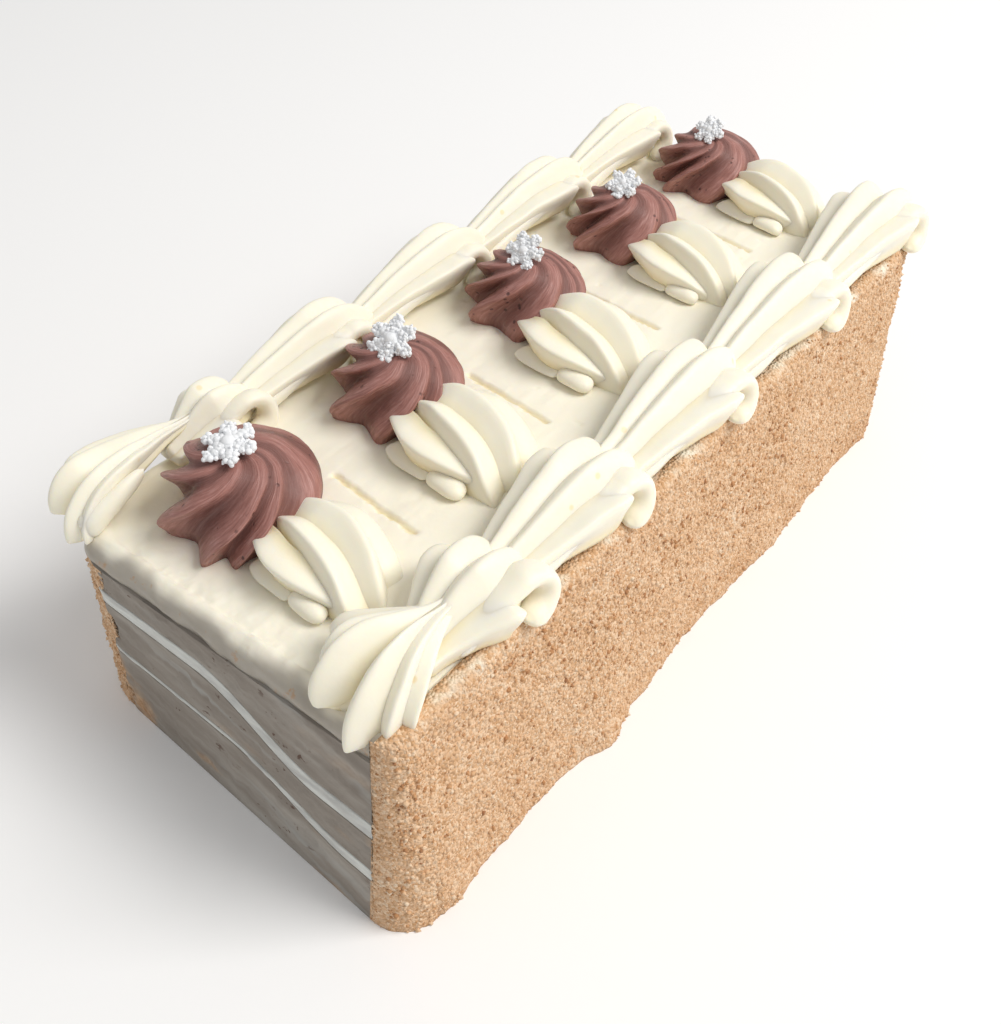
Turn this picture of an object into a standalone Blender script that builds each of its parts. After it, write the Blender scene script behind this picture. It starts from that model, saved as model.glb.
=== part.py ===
"""A block of layered cream cake, five portions long, piped along both edges.

The block lies along Y with its near cut end at -Y.  X runs across it, and Z is up.
Sponge and filling run right through, a cream cap covers the top, a crumb coat covers
each long side, and the piping stands on the cap.  Sizes are in metres.
"""
import math

import bmesh
import bpy
import numpy as np

MM = 0.001
GAP = 0.3 * MM
CUT_CLEARANCE = 0.5 * MM

# Driving dimensions of the block
PORTION = 44.5 * MM
HEIGHT = 51.7 * MM
LEFT_EDGE = -50.0 * MM
RIGHT_EDGE = 41.6 * MM
NEAR_EDGE = -105.0 * MM
FAR_EDGE = 104.0 * MM
FAR_SKEW = 0.08
NEAR_LEAN_LEFT = 0.5 * MM
NEAR_LEAN_RIGHT = 6.7 * MM
FAR_LEAN = 10.0 * MM

# Layers, given as heights at the left and right of the cut end
CAP_THICKNESS = 6.0 * MM
EDGE_ROUND = 4.5 * MM
FILLING_LOW = dict(left=20.3 * MM, right=12.6 * MM, middle=14 * MM, spread=18 * MM,
                   thick_left=1.0 * MM, thick_right=2.8 * MM)
FILLING_HIGH = dict(left=35.4 * MM, right=25.2 * MM, middle=6 * MM, spread=17 * MM,
                    thick_left=3.4 * MM, thick_right=3.8 * MM)
CORE_LEFT = -46.3 * MM
CORE_RIGHT = 37.5 * MM
CORE_CORNER = 8.0 * MM
CAP_CORNER_LEFT = 11.0 * MM
CORNER_STEPS = 4
LAYER_COLUMNS, LAYER_ROWS = 8, 3
CAP_COLUMNS, CAP_ROWS = 5, 5
CAP_EDGE_TURNS = np.radians([0, 30, 60, 90])

# Crumb coats: the left one ends under the cap, the right one beside it
COAT_TOP_LEFT = HEIGHT - CAP_THICKNESS - GAP
COAT_TOP_RIGHT = HEIGHT - GAP
COAT_ROUND = 1.2 * MM
FOOT_RIGHT = 6.6 * MM
FOOT_LEFT = 4.5 * MM
COAT_CORNER_TOP = 4.0 * MM
COAT_CORNER_FOOT = 10.0 * MM
COAT_CORNER_SWELL_LEFT = 1.5 * MM
COAT_LEVELS = (0.0, 0.10, 0.22, 0.5)
COAT_STATIONS = 13
COAT_WAVE = 0.7 * MM
COAT_WAVE_TURNS = 17.0
COAT_WAVE_AT_TOP = 0.4
LUMP_SIZE = 3.2 * MM
LUMP_Y = -47.0 * MM
LUMP_SPREAD = 7.0 * MM
LUMP_FALL = 4

# Score lines pressed into the cap between portions
SCORE_LENGTH = 26.0 * MM
SCORE_WIDTH = 1.7 * MM
SCORE_DEPTH = 0.9 * MM
SCORE_X = -3.3 * MM
SCORE_FIRST_Y = -60.4 * MM
SCORE_STEP = PORTION + 0.4 * MM
SCORE_COUNT = 4
SCORE_TURN = math.radians(-6.0)

# Piped shells: lobes over the upper arc, and shares of the length for the rings and the widest place
PIPING_BASE = HEIGHT + GAP
LOBES = 5
LOBE_ARC = math.radians(200.0)
LOBE_SAMPLES = 3
LOBE_ROUND = 0.6
UNDERSIDE_SAMPLES = 5
SHELL_RINGS = np.array([0.03, 0.11, 0.24, 0.40, 0.58, 0.74, 0.86, 0.945, 0.985])
SHELL_WIDEST = 0.74
TAIL_SWELL, TAIL_ROUND = 1.8, 0.72
HEAD_ROUND = 2.6
VALLEY_AT_TAIL, VALLEY_AT_HEAD = 0.14, 0.32
TALL_SWELL = 0.85
AXIS_HEIGHT = 0.30
UNDERSIDE_DROP = 1.35
HEAD_LEAN = 0.18
HEAD_TIP_HEIGHT = 0.02

# Rosettes: lobes, their turn up to the peak, and height and radius shares of each ring
ROSETTE_LOBES = 8
ROSETTE_LOBE_SAMPLES = 3
ROSETTE_LOBE_ROUND = 0.7
ROSETTE_RINGS = np.array([(0.0, 0.90), (0.13, 1.0), (0.34, 0.97), (0.58, 0.82), (0.78, 0.60), (0.93, 0.34)])
ROSETTE_SPIRAL = math.radians(135.0)
ROSETTE_VALLEY = 0.20
FAN_SIDE = math.radians(225.0)
FAN_DEPTH = 0.5

# Sugar flakes: outline of one side of an arm, along and across it
FLAKE_RADIUS = 6.0 * MM
FLAKE_THICKNESS = 2.4 * MM
FLAKE_ARM = [(0.32, -0.17), (0.56, -0.15), (0.66, -0.32), (1.0, -0.15)]
FLAKE_ARMS = 6
FLAKE_TURN = 0.4

# X, y, radius and height of each rosette
ROSETTES = [(-22.0, -79.5, 17.0, 17.0), (-21.5, -33.0, 15.6, 15.5), (-21.5, 14.5, 15.0, 14.5),
            (-21.5, 57.0, 14.4, 14.0), (-20.5, 98.5, 15.0, 13.0)]
# Tail x, tail y, length, half width, height and heading of each shell beside a rosette
CENTRE_SHELLS = [(-13.0, -79.5, 29.5, 11.0, 12.0, -94.0), (-15.5, -35.5, 32.0, 12.5, 12.5, -96.0),
                 (-15.0, 9.0, 31.0, 12.5, 12.0, -93.0), (-13.5, 54.0, 29.5, 11.5, 11.5, -94.0),
                 (-12.0, 96.5, 29.0, 11.5, 11.0, -95.0)]
# Tail y and head y of the shells of each border, the first one turned round at the corner
LEFT_RUN = [(-64.0, -107.5), (-79.0, -55.5), (-72.0, -16.5), (-33.0, 26.5), (9.0, 71.5), (52.0, 112.5)]
RIGHT_RUN = [(-74.0, -109.5), (-90.0, -59.5), (-76.0, -22.5), (-40.0, 20.5), (2.0, 66.5), (49.0, 111.5)]
LEFT_BORDER = dict(x=-46.0, half_width=10.3, height=12.0)
RIGHT_BORDER = dict(x=31.2, half_width=13.3, height=13.0)

COLOURS = {
    "sponge": (0.66, 0.53, 0.36, 1.0), "filling": (0.86, 0.80, 0.66, 1.0),
    "cream": (0.92, 0.87, 0.70, 1.0), "coat": (0.63, 0.40, 0.21, 1.0),
    "chocolate": (0.20, 0.095, 0.075, 1.0), "sugar": (0.85, 0.87, 0.90, 1.0),
}


def clear_scene():
    """Remove every object that the scene starts with."""
    for item in list(bpy.data.objects):
        bpy.data.objects.remove(item, do_unlink=True)


def finish_material(name, kind, roughness):
    """A Principled material in one of the named colours."""
    material = bpy.data.materials.new(name)
    material.use_nodes = True
    shader = material.node_tree.nodes["Principled BSDF"]
    shader.inputs["Base Color"].default_value = COLOURS[kind]
    shader.inputs["Roughness"].default_value = roughness
    shader.inputs["Metallic"].default_value = 0.0
    return material


def add_object(name, vertices, faces, kind, roughness=0.55):
    """An object from points and faces, with its faces pointing out."""
    mesh = bpy.data.meshes.new(name)
    mesh.from_pydata([tuple(point) for point in vertices], [], faces)
    shape = bmesh.new()
    shape.from_mesh(mesh)
    bmesh.ops.recalc_face_normals(shape, faces=shape.faces)
    bmesh.ops.triangulate(shape, faces=shape.faces)
    shape.to_mesh(mesh)
    shape.free()
    mesh.materials.append(finish_material(name + "_finish", kind, roughness))
    item = bpy.data.objects.new(name, mesh)
    bpy.context.scene.collection.objects.link(item)
    return item


def cut_with(item, cutter):
    """Take a hidden cutter's shape out of an object."""
    cutter.hide_render = True
    cutter.display_type = "WIRE"
    step = item.modifiers.new("cut_" + cutter.name, "BOOLEAN")
    step.operation = "DIFFERENCE"
    step.solver = "EXACT"
    step.object = cutter


def grown_copy(item, amount):
    """A cutter of an object's own shape, each point moved out along its normal."""
    mesh = item.data.copy()
    points = np.array([vertex.co[:] for vertex in mesh.vertices])
    normals = np.array([vertex.normal[:] for vertex in mesh.vertices])
    mesh.vertices.foreach_set("co", (points + normals * amount).ravel())
    mesh.update()
    cutter = bpy.data.objects.new(item.name + "_cutter", mesh)
    bpy.context.scene.collection.objects.link(cutter)
    return cutter


def stitch(rows, columns, first, wrap):
    """Quads between the rows of a grid of points that starts at index first."""
    faces = []
    for row in range(rows - 1):
        for column in range(columns if wrap else columns - 1):
            after = (column + 1) % columns
            low = first + row * columns
            high = low + columns
            faces.append((low + column, low + after, high + after, high + column))
    return faces


def tube(rings, start, end):
    """Points and faces of a tube of rings that closes to a point at both ends."""
    count, around = rings.shape[:2]
    points = np.concatenate([rings.reshape(-1, 3), [start], [end]])
    faces = stitch(count, around, 0, True)
    tip, top = count * around, count * around + 1
    last = (count - 1) * around
    for column in range(around):
        after = (column + 1) % around
        faces.append((tip, after, column))
        faces.append((top, last + column, last + after))
    return points, faces


def ease(value):
    """Smooth step from 0 to 1."""
    value = np.clip(value, 0.0, 1.0)
    return value * value * (3 - 2 * value)


def layer_height(x, layer):
    """Underside of a filling: it steps down from the left to the right of the block."""
    share = ease((x - layer["middle"]) / (2 * layer["spread"]) + 0.5)
    return layer["left"] + (layer["right"] - layer["left"]) * share


def layer_top(x, layer):
    """Top of a filling, from its underside and its thickness there."""
    share = ease((x - layer["middle"]) / (2 * layer["spread"]) + 0.5)
    thickness = layer["thick_left"] + (layer["thick_right"] - layer["thick_left"]) * share
    return layer_height(x, layer) + thickness


def level(z):
    """A height that is the same at every x."""
    return lambda x: z + 0 * x


def under(layer, clear):
    """The height this far below a filling."""
    return lambda x: layer_height(x, layer) - clear


def over(layer, clear):
    """The height this far above a filling."""
    return lambda x: layer_top(x, layer) + clear


def near_face(x, z):
    """Y of the near cut, which leans out towards its foot, more so at the right."""
    across = (x - LEFT_EDGE) / (RIGHT_EDGE - LEFT_EDGE)
    lean = NEAR_LEAN_LEFT + (NEAR_LEAN_RIGHT - NEAR_LEAN_LEFT) * across
    return NEAR_EDGE - lean * (1 - z / HEIGHT)


def far_face(x, z):
    """Y of the far cut, skewed across the block and leaning in towards its foot."""
    return FAR_EDGE + FAR_SKEW * (RIGHT_EDGE - x) - FAR_LEAN * (1 - z / HEIGHT)


def plan_columns(left, right, corner_left, corner_right, steps, middle):
    """X of each column of the plan, and how far its ends draw in round the corners."""
    turn = np.linspace(0, math.pi / 2, steps + 1)
    x_left = left + corner_left * (1 - np.cos(turn))
    in_left = corner_left * (1 - np.sin(turn))
    x_right = right - corner_right * (1 - np.cos(turn[::-1]))
    in_right = corner_right * (1 - np.sin(turn[::-1]))
    x_mid = np.linspace(x_left[-1], x_right[0], middle + 2)[1:-1]
    if corner_right == 0:
        x_right, in_right = x_right[:1], in_right[:1]
    x = np.concatenate([x_left, x_mid, x_right])
    draw_in = np.concatenate([in_left, np.zeros(middle), in_right])
    return x, draw_in


def slab(name, plan, levels, rows, kind):
    """A layer of the block.

    levels lists, from the underside up, a function for the height at x and how far the
    outline is drawn in there; the first and the last level are closed by a lattice.
    """
    x, draw_in = plan
    share = np.linspace(0, 1, rows + 1)[:, None]
    middle_x = (x[0] + x[-1]) / 2
    sheets = []
    for height, inset in levels:
        z = height(x)
        near = near_face(x, z) + draw_in + inset
        far = far_face(x, z) - draw_in - inset
        y = near + (far - near) * share
        narrow = 1 - inset / ((x[-1] - x[0]) / 2)
        across = middle_x + (x - middle_x) * narrow
        grid = np.stack([np.broadcast_to(across, y.shape), y, np.broadcast_to(z, y.shape)], -1)
        sheets.append(grid)
    columns = len(x)
    index = np.arange((rows + 1) * columns).reshape(rows + 1, columns)
    rim = np.concatenate([index[0, :-1], index[:-1, -1], index[-1, :0:-1], index[:0:-1, 0]])
    points = [sheets[0].reshape(-1, 3)]
    faces = [face[::-1] for face in stitch(rows + 1, columns, 0, False)]
    below = rim
    start = len(points[0])
    for sheet in sheets[1:-1]:
        points.append(sheet.reshape(-1, 3)[rim])
        here = start + np.arange(len(rim))
        faces += side_faces(below, here)
        below = here
        start += len(rim)
    points.append(sheets[-1].reshape(-1, 3))
    faces += side_faces(below, start + rim)
    faces += stitch(rows + 1, columns, start, False)
    return add_object(name, np.concatenate(points), [tuple(int(i) for i in f) for f in faces], kind)


def side_faces(below, above):
    """Quads between two loops of point numbers."""
    count = len(below)
    return [(below[i], below[(i + 1) % count], above[(i + 1) % count], above[i]) for i in range(count)]


def make_layers():
    """Three sponges with two fillings between them, each stepping down to the right."""
    plan = plan_columns(CORE_LEFT, CORE_RIGHT, CORE_CORNER, 0.0, CORNER_STEPS, LAYER_COLUMNS)
    fillings = (("filling_lower", FILLING_LOW), ("filling_upper", FILLING_HIGH))
    below = level(0.0)
    for (name, filling), sponge in zip(fillings, ("sponge_bottom", "sponge_middle")):
        slab(sponge, plan, [(below, 0.0), (under(filling, GAP), 0.0)], LAYER_ROWS, "sponge")
        slab(name, plan, [(under(filling, 0.0), 0.0), (over(filling, 0.0), 0.0)], LAYER_ROWS, "filling")
        below = over(filling, GAP)
    cap_low = level(HEIGHT - CAP_THICKNESS - GAP)
    slab("sponge_top", plan, [(below, 0.0), (cap_low, 0.0)], LAYER_ROWS, "sponge")


def make_cap():
    """The cream cap with its rounded rim and the portion lines pressed into it."""
    plan = plan_columns(LEFT_EDGE, CORE_RIGHT, CAP_CORNER_LEFT, 0.0, CORNER_STEPS, CAP_COLUMNS)
    levels = [(level(HEIGHT - CAP_THICKNESS), 0.0)]
    for turn in CAP_EDGE_TURNS:
        z = HEIGHT - EDGE_ROUND * (1 - math.sin(turn))
        levels.append((level(z), EDGE_ROUND * (1 - math.cos(turn))))
    cap = slab("top_cream", plan, levels, CAP_ROWS, "cream")
    for number in range(SCORE_COUNT):
        cut_with(cap, score_cutter(number + 1, SCORE_FIRST_Y + number * SCORE_STEP))


def score_cutter(number, y):
    """A long wedge, edge down, for one portion line."""
    half_length, half_width = SCORE_LENGTH / 2, SCORE_WIDTH / 2
    top, low = SCORE_DEPTH, -SCORE_DEPTH
    points = []
    for end in (-1, 1):
        points += [(end * half_length, -2 * half_width, top), (end * half_length, 2 * half_width, top),
                   (end * (half_length - SCORE_DEPTH), 0.0, low)]
    points = np.array(points)
    cos, sin = math.cos(SCORE_TURN), math.sin(SCORE_TURN)
    turned = np.stack([points[:, 0] * cos - points[:, 1] * sin + SCORE_X,
                       points[:, 0] * sin + points[:, 1] * cos + y, points[:, 2] + HEIGHT], -1)
    faces = [(0, 1, 2), (3, 5, 4), (0, 3, 4, 1), (1, 4, 5, 2), (2, 5, 3, 0)]
    return add_object("score_cutter_%d" % number, turned, faces, "cream")


def coat(name, side, top):
    """A crumb coat down one long side, thicker at its foot and round at its two ends.

    At each height the outer line runs out along the near cut, round an arc, down the
    side and back along the far cut; the inner line follows the sponge, one gap clear.
    """
    heights = [share * top for share in COAT_LEVELS] + [top - COAT_ROUND, top]
    outer = np.stack([coat_line(side, z, True) for z in heights])
    outer[-1, :, 0] -= side * COAT_ROUND
    inner = np.stack([coat_line(side, z, False) for z in heights[::-1]])
    section = np.concatenate([outer, inner]).transpose(1, 0, 2)
    stations, around = section.shape[:2]
    faces = stitch(stations, around, 0, True)
    faces.append(tuple(range(around)))
    faces.append(tuple(range((stations - 1) * around, stations * around))[::-1])
    return add_object(name, section.reshape(-1, 3), faces, "coat", 0.9)


def coat_line(side, z, outside):
    """Plan line of a coat at height z, from the near cut to the far one."""
    down = 1 - z / HEIGHT
    if side > 0:
        core, corner_in, clear = CORE_RIGHT + GAP, 0.0, 0.0
        wall = RIGHT_EDGE + FOOT_RIGHT * down
        corner = COAT_CORNER_TOP + (COAT_CORNER_FOOT - COAT_CORNER_TOP) * down
    else:
        core, corner_in, clear = CORE_LEFT - GAP, CORE_CORNER + GAP, GAP
        wall = LEFT_EDGE - FOOT_LEFT * down
        corner = CAP_CORNER_LEFT + COAT_CORNER_SWELL_LEFT * down
    edge, corner = (wall, corner) if outside else (core, corner_in)
    turn = np.linspace(0, math.pi / 2, CORNER_STEPS + 1)[::-1]
    x_near = edge - side * corner * (1 - np.cos(turn))
    y_near = near_face(x_near, z) - clear + corner * (1 - np.sin(turn))
    y_far = far_face(x_near, z) + clear - corner * (1 - np.sin(turn))
    along = np.linspace(0, 1, COAT_STATIONS + 2)[1:-1]
    y_wall = y_near[-1] + (y_far[-1] - y_near[-1]) * along
    x_wall = np.full(len(along), edge)
    if outside:
        swing = COAT_WAVE_AT_TOP + (1 - COAT_WAVE_AT_TOP) * down
        x_wall = x_wall + side * COAT_WAVE * np.sin(along * COAT_WAVE_TURNS + 1 + side) * swing
        if side > 0:
            bulge = np.exp(-((y_wall - LUMP_Y) / LUMP_SPREAD) ** 2)
            x_wall = x_wall + LUMP_SIZE * down ** LUMP_FALL * bulge
    x = np.concatenate([x_near, x_wall, x_near[::-1]])
    y = np.concatenate([y_near, y_wall, y_far[::-1]])
    return np.stack([x, y, np.full(len(x), z)], -1)


def shell_rings(length, half_width, height):
    """Rings of a piped shell, tail at y = 0 and head at y = length, and its two ends.

    The outline swells from the tail and closes in a blunt head.  Round each ring, the
    upper arc is split into lobes with valleys between them, deepest at the head, and
    the underside is flat.
    """
    behind = np.clip(SHELL_RINGS / SHELL_WIDEST, 0, 1)
    ahead = np.clip((SHELL_RINGS - SHELL_WIDEST) / (1 - SHELL_WIDEST), 0, 1)
    swell = (1 - (1 - behind) ** TAIL_SWELL) ** TAIL_ROUND * (1 - ahead ** HEAD_ROUND) ** (1 / HEAD_ROUND)
    angle, lobe = lobed_arc()
    depth = (VALLEY_AT_TAIL + (VALLEY_AT_HEAD - VALLEY_AT_TAIL) * SHELL_RINGS)[:, None]
    reach = 1 - depth * (1 - lobe[None, :])
    tall = (height * swell ** TALL_SWELL)[:, None]
    axis = AXIS_HEIGHT * tall
    rise = np.sin(angle)[None, :]
    x = (half_width * swell)[:, None] * reach * np.cos(angle)[None, :]
    z = axis + np.where(rise > 0, (tall - axis) * reach * rise, UNDERSIDE_DROP * axis * rise)
    z = np.maximum(z, 0.0)
    y = (length * SHELL_RINGS)[:, None] + HEAD_LEAN * z * ahead[:, None]
    rings = np.stack([x, np.broadcast_to(y, x.shape), z], -1)
    return rings, (0.0, 0.0, 0.0), (0.0, length, HEAD_TIP_HEIGHT * height)


def lobed_arc():
    """Angles round a ring of a shell, and 1 on each lobe falling to 0 in the valleys and underneath."""
    start = -(LOBE_ARC - math.pi) / 2
    upper = start + LOBE_ARC * np.arange(LOBES * LOBE_SAMPLES + 1) / (LOBES * LOBE_SAMPLES)
    lower_share = np.arange(1, UNDERSIDE_SAMPLES + 1) / (UNDERSIDE_SAMPLES + 1)
    lower = upper[-1] + (2 * math.pi - LOBE_ARC) * lower_share
    angle = np.concatenate([upper, lower])
    lobe = np.abs(np.sin(math.pi * LOBES * (angle - start) / LOBE_ARC)) ** LOBE_ROUND
    lobe[len(upper):] = 0.0
    return angle, lobe


def place(points, x, y, heading):
    """Turn points about Z, where heading 0 keeps +Y, and set them on the cap."""
    cos, sin = math.cos(heading), math.sin(heading)
    return np.stack([points[:, 0] * cos - points[:, 1] * sin + x,
                     points[:, 0] * sin + points[:, 1] * cos + y,
                     points[:, 2] + PIPING_BASE], -1)


def make_shell(name, x, y, length, half_width, height, heading):
    """One piped cream shell."""
    rings, start, end = shell_rings(length, half_width, height)
    points, faces = tube(rings, start, end)
    return add_object(name, place(points, x, y, heading), faces, "cream", 0.45)


def make_border(side, run, sizes):
    """A row of shells down one edge, each tail cut by the head that lies over it."""
    shells = []
    for number, (tail, head) in enumerate(run, 1):
        heading = 0.0 if head > tail else math.pi
        name = "%s_shell_%d" % (side, number)
        shells.append(make_shell(name, sizes["x"] * MM, tail * MM, abs(head - tail) * MM,
                                 sizes["half_width"] * MM, sizes["height"] * MM, heading))
    for over, under in zip(shells, shells[1:]):
        cut_with(under, grown_copy(over, CUT_CLEARANCE))
    return shells


def make_rosette(number, x, y, radius, height):
    """A piped swirl: lobes that wind inwards as they climb to the middle."""
    around = ROSETTE_LOBES * ROSETTE_LOBE_SAMPLES
    angle = np.linspace(0, 2 * math.pi, around, endpoint=False)[None, :]
    lobe = np.abs(np.sin(ROSETTE_LOBES * angle / 2)) ** ROSETTE_LOBE_ROUND
    rise, share = ROSETTE_RINGS[:, :1], ROSETTE_RINGS[:, 1:]
    fan = 1 + FAN_DEPTH * np.cos(angle + ROSETTE_SPIRAL * (1 - share) - FAN_SIDE)
    reach = share * (1 - ROSETTE_VALLEY * fan * (1 - lobe))
    turn = angle + ROSETTE_SPIRAL * (1 - share) + number
    rings = np.stack([x + radius * reach * np.cos(turn), y + radius * reach * np.sin(turn),
                      np.broadcast_to(PIPING_BASE + height * rise, reach.shape)], -1)
    points, faces = tube(rings, (x, y, PIPING_BASE), (x, y, PIPING_BASE + height))
    return add_object("rosette_%d" % number, points, faces, "chocolate", 0.5)


def make_flake(number, x, y, z):
    """A six-armed sugar flake lying flat on its rosette."""
    arm = FLAKE_ARM + [(along, -across) for along, across in FLAKE_ARM[::-1]]
    outline = []
    for turn in np.arange(FLAKE_ARMS) * 2 * math.pi / FLAKE_ARMS + FLAKE_TURN * number:
        for along, across in arm:
            outline.append((x + FLAKE_RADIUS * (along * math.cos(turn) - across * math.sin(turn)),
                            y + FLAKE_RADIUS * (along * math.sin(turn) + across * math.cos(turn))))
    count = len(outline)
    points = [(px, py, z) for px, py in outline] + [(px, py, z + FLAKE_THICKNESS) for px, py in outline]
    faces = [tuple(range(count))[::-1], tuple(range(count, 2 * count))]
    faces += side_faces(list(range(count)), list(range(count, 2 * count)))
    return add_object("snowflake_%d" % number, points, faces, "sugar", 0.6)


def make_piping():
    """Both borders, the rosettes with their flakes, and the shells beside them."""
    left = make_border("left", LEFT_RUN, LEFT_BORDER)
    make_border("right", RIGHT_RUN, RIGHT_BORDER)
    for number, (x, y, radius, height) in enumerate(ROSETTES, 1):
        rosette = make_rosette(number, x * MM, y * MM, radius * MM, height * MM)
        make_flake(number, x * MM, y * MM, PIPING_BASE + height * MM + GAP)
        tail_x, tail_y, length, half_width, tall, heading = CENTRE_SHELLS[number - 1]
        shell = make_shell("centre_shell_%d" % number, tail_x * MM, tail_y * MM, length * MM,
                           half_width * MM, tall * MM, math.radians(heading))
        cutter = grown_copy(rosette, CUT_CLEARANCE)
        cut_with(shell, cutter)
        for piece in left:
            if spans_meet(piece, rosette):
                cut_with(piece, cutter)


def spans_meet(one, other):
    """Whether the boxes of two objects overlap in plan."""
    a = np.array([vertex.co[:2] for vertex in one.data.vertices])
    b = np.array([vertex.co[:2] for vertex in other.data.vertices])
    return bool(np.all(a.min(0) < b.max(0)) and np.all(b.min(0) < a.max(0)))


def centre_on_origin():
    """Move everything so that the block's box stands centred on the origin."""
    shown = [item for item in bpy.data.objects if not item.hide_render]
    points = np.concatenate([np.array([vertex.co[:] for vertex in item.data.vertices]) for item in shown])
    low, high = points.min(0), points.max(0)
    for item in bpy.data.objects:
        item.location.x -= (low[0] + high[0]) / 2
        item.location.y -= (low[1] + high[1]) / 2
        item.location.z -= low[2]


def main():
    clear_scene()
    make_layers()
    make_cap()
    coat("crumb_coat_left", -1, COAT_TOP_LEFT)
    coat("crumb_coat_right", 1, COAT_TOP_RIGHT)
    make_piping()
    centre_on_origin()


main()
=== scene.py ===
"""The looks of a block of layered cream cake, piped along both edges.

Every size below is in millimetres, in the cake's own plan: X runs across the block from
left to right, the near cut end lies at -Y, and Z is up from the underside.  One shift,
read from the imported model, brings that plan onto the model's origin.
"""
import math

import bpy
import numpy as np
from mathutils import Matrix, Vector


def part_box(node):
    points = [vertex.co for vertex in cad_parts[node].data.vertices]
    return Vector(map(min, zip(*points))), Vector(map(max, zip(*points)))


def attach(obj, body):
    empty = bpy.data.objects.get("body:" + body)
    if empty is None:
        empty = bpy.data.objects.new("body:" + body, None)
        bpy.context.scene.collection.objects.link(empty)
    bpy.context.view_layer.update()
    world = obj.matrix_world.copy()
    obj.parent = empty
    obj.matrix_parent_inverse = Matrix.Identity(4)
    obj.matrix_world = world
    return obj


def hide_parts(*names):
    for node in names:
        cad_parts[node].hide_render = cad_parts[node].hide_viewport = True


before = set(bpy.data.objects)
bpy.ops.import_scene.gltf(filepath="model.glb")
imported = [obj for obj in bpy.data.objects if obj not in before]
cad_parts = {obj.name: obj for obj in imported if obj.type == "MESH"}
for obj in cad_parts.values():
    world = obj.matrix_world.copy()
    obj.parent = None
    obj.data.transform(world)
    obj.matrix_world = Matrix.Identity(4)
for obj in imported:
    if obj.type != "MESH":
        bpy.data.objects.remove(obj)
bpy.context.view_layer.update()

MM = 0.001

# The block
HEIGHT = 51.7
LEFT_EDGE, RIGHT_EDGE = -50.0, 41.6
NEAR_EDGE, FAR_EDGE, FAR_SKEW = -105.0, 104.0, 0.08
NEAR_LEAN_LEFT, NEAR_LEAN_RIGHT, FAR_LEAN = 0.5, 6.7, 10.0
CAP_THICKNESS, EDGE_ROUND = 6.0, 4.5
CAP_CORNER_LEFT = 11.0
CORE_LEFT, CORE_RIGHT, CORE_CORNER = -46.3, 37.5, 8.0
# Clear space between pieces, and the smaller one between the top sponge and the cap
GAP, TOP_CLEARANCE = 0.3, 0.05
# Each filling's height at the left and right, where its slope lies, and its thickness
FILLING_LOW = dict(left=20.3, right=12.6, middle=14.0, spread=18.0, thick_left=1.0, thick_right=2.8)
FILLING_HIGH = dict(left=35.4, right=25.2, middle=6.0, spread=17.0, thick_left=3.4, thick_right=3.8)
CAP_LOW = HEIGHT - CAP_THICKNESS

# The crumb coats
COAT_TOP_LEFT, COAT_TOP_RIGHT, COAT_ROUND = CAP_LOW - GAP, HEIGHT - GAP, 1.2
FOOT_RIGHT, FOOT_LEFT = 6.6, 4.5
COAT_CORNER_TOP, COAT_CORNER_FOOT = 4.0, 10.0
COAT_WAVE = 0.7
LUMP_Y, LUMP_SPREAD, LUMP_SIZE = -47.0, 7.0, 3.2

# The portion lines
PORTION = 44.5
SCORE_LENGTH, SCORE_WIDTH, SCORE_DEPTH = 26.0, 1.7, 0.9
SCORE_X, SCORE_FIRST_Y, SCORE_STEP = -3.3, -60.4, PORTION + 0.4
SCORE_TURN = math.radians(-6.0)

# The piping, pressed a little into the cap, and kept from hanging lower than it may beyond the edge
PIPING_BASE, SINK, HANG = HEIGHT + GAP, 0.9, 9.0
# X, y, radius and height of each rosette
ROSETTES = [(-22.0, -79.5, 17.0, 17.0), (-21.5, -33.0, 15.6, 15.5), (-21.5, 14.5, 15.0, 14.5),
            (-21.5, 57.0, 14.4, 14.0), (-20.5, 98.5, 15.0, 13.0)]
# Tail x, tail y, length, half width, height and heading of each shell beside a rosette
CENTRE_SHELLS = [(-13.0, -79.5, 29.5, 11.0, 12.0, -94.0), (-15.5, -35.5, 32.0, 12.5, 12.5, -96.0),
                 (-15.0, 9.0, 31.0, 12.5, 12.0, -93.0), (-13.5, 54.0, 29.5, 11.5, 11.5, -94.0),
                 (-12.0, 96.5, 29.0, 11.5, 11.0, -95.0)]
# Tail y and head y of the shells of each border, the first one turned round at the corner
LEFT_RUN = [(-64.0, -107.5), (-79.0, -55.5), (-72.0, -16.5), (-33.0, 26.5), (9.0, 71.5), (52.0, 112.5)]
RIGHT_RUN = [(-74.0, -109.5), (-90.0, -59.5), (-76.0, -22.5), (-40.0, 20.5), (2.0, 66.5), (49.0, 111.5)]
# Each border's middle line, and for each lobe of its corner shell: angle from the top, share of the
# half width, share of the length, where it starts to bend down, and width in degrees
LEFT_BORDER = dict(x=-46.0, half_width=10.3, height=12.0, loop=True, corner=[
    (-38, 0.6, 0.84, 0.62, 44), (-4, 0.9, 0.86, 0.62, 40), (34, 1.1, 0.80, 0.78, 38),
    (62, 1.1, 0.68, 0.90, 40)])
RIGHT_BORDER = dict(x=31.2, half_width=13.3, height=13.0, loop=False, corner=[
    (-78, 0.62, 0.70, 0.30, 44), (-42, 0.66, 0.76, 0.24, 44), (-4, 0.80, 0.86, 0.32, 40),
    (32, 1.15, 0.78, 0.58, 34), (58, 0.98, 0.66, 0.66, 34), (84, 1.1, 0.54, 0.70, 38)])

# The camera: turn round the cake, height angle, lens, and its place in the plan
CAMERA_TURN = math.radians(38.1)
CAMERA_RISE = math.radians(43.7)
CAMERA_LENS = 42.71
CAMERA_PLACE = (130.21, -188.27, 223.62)

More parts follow.
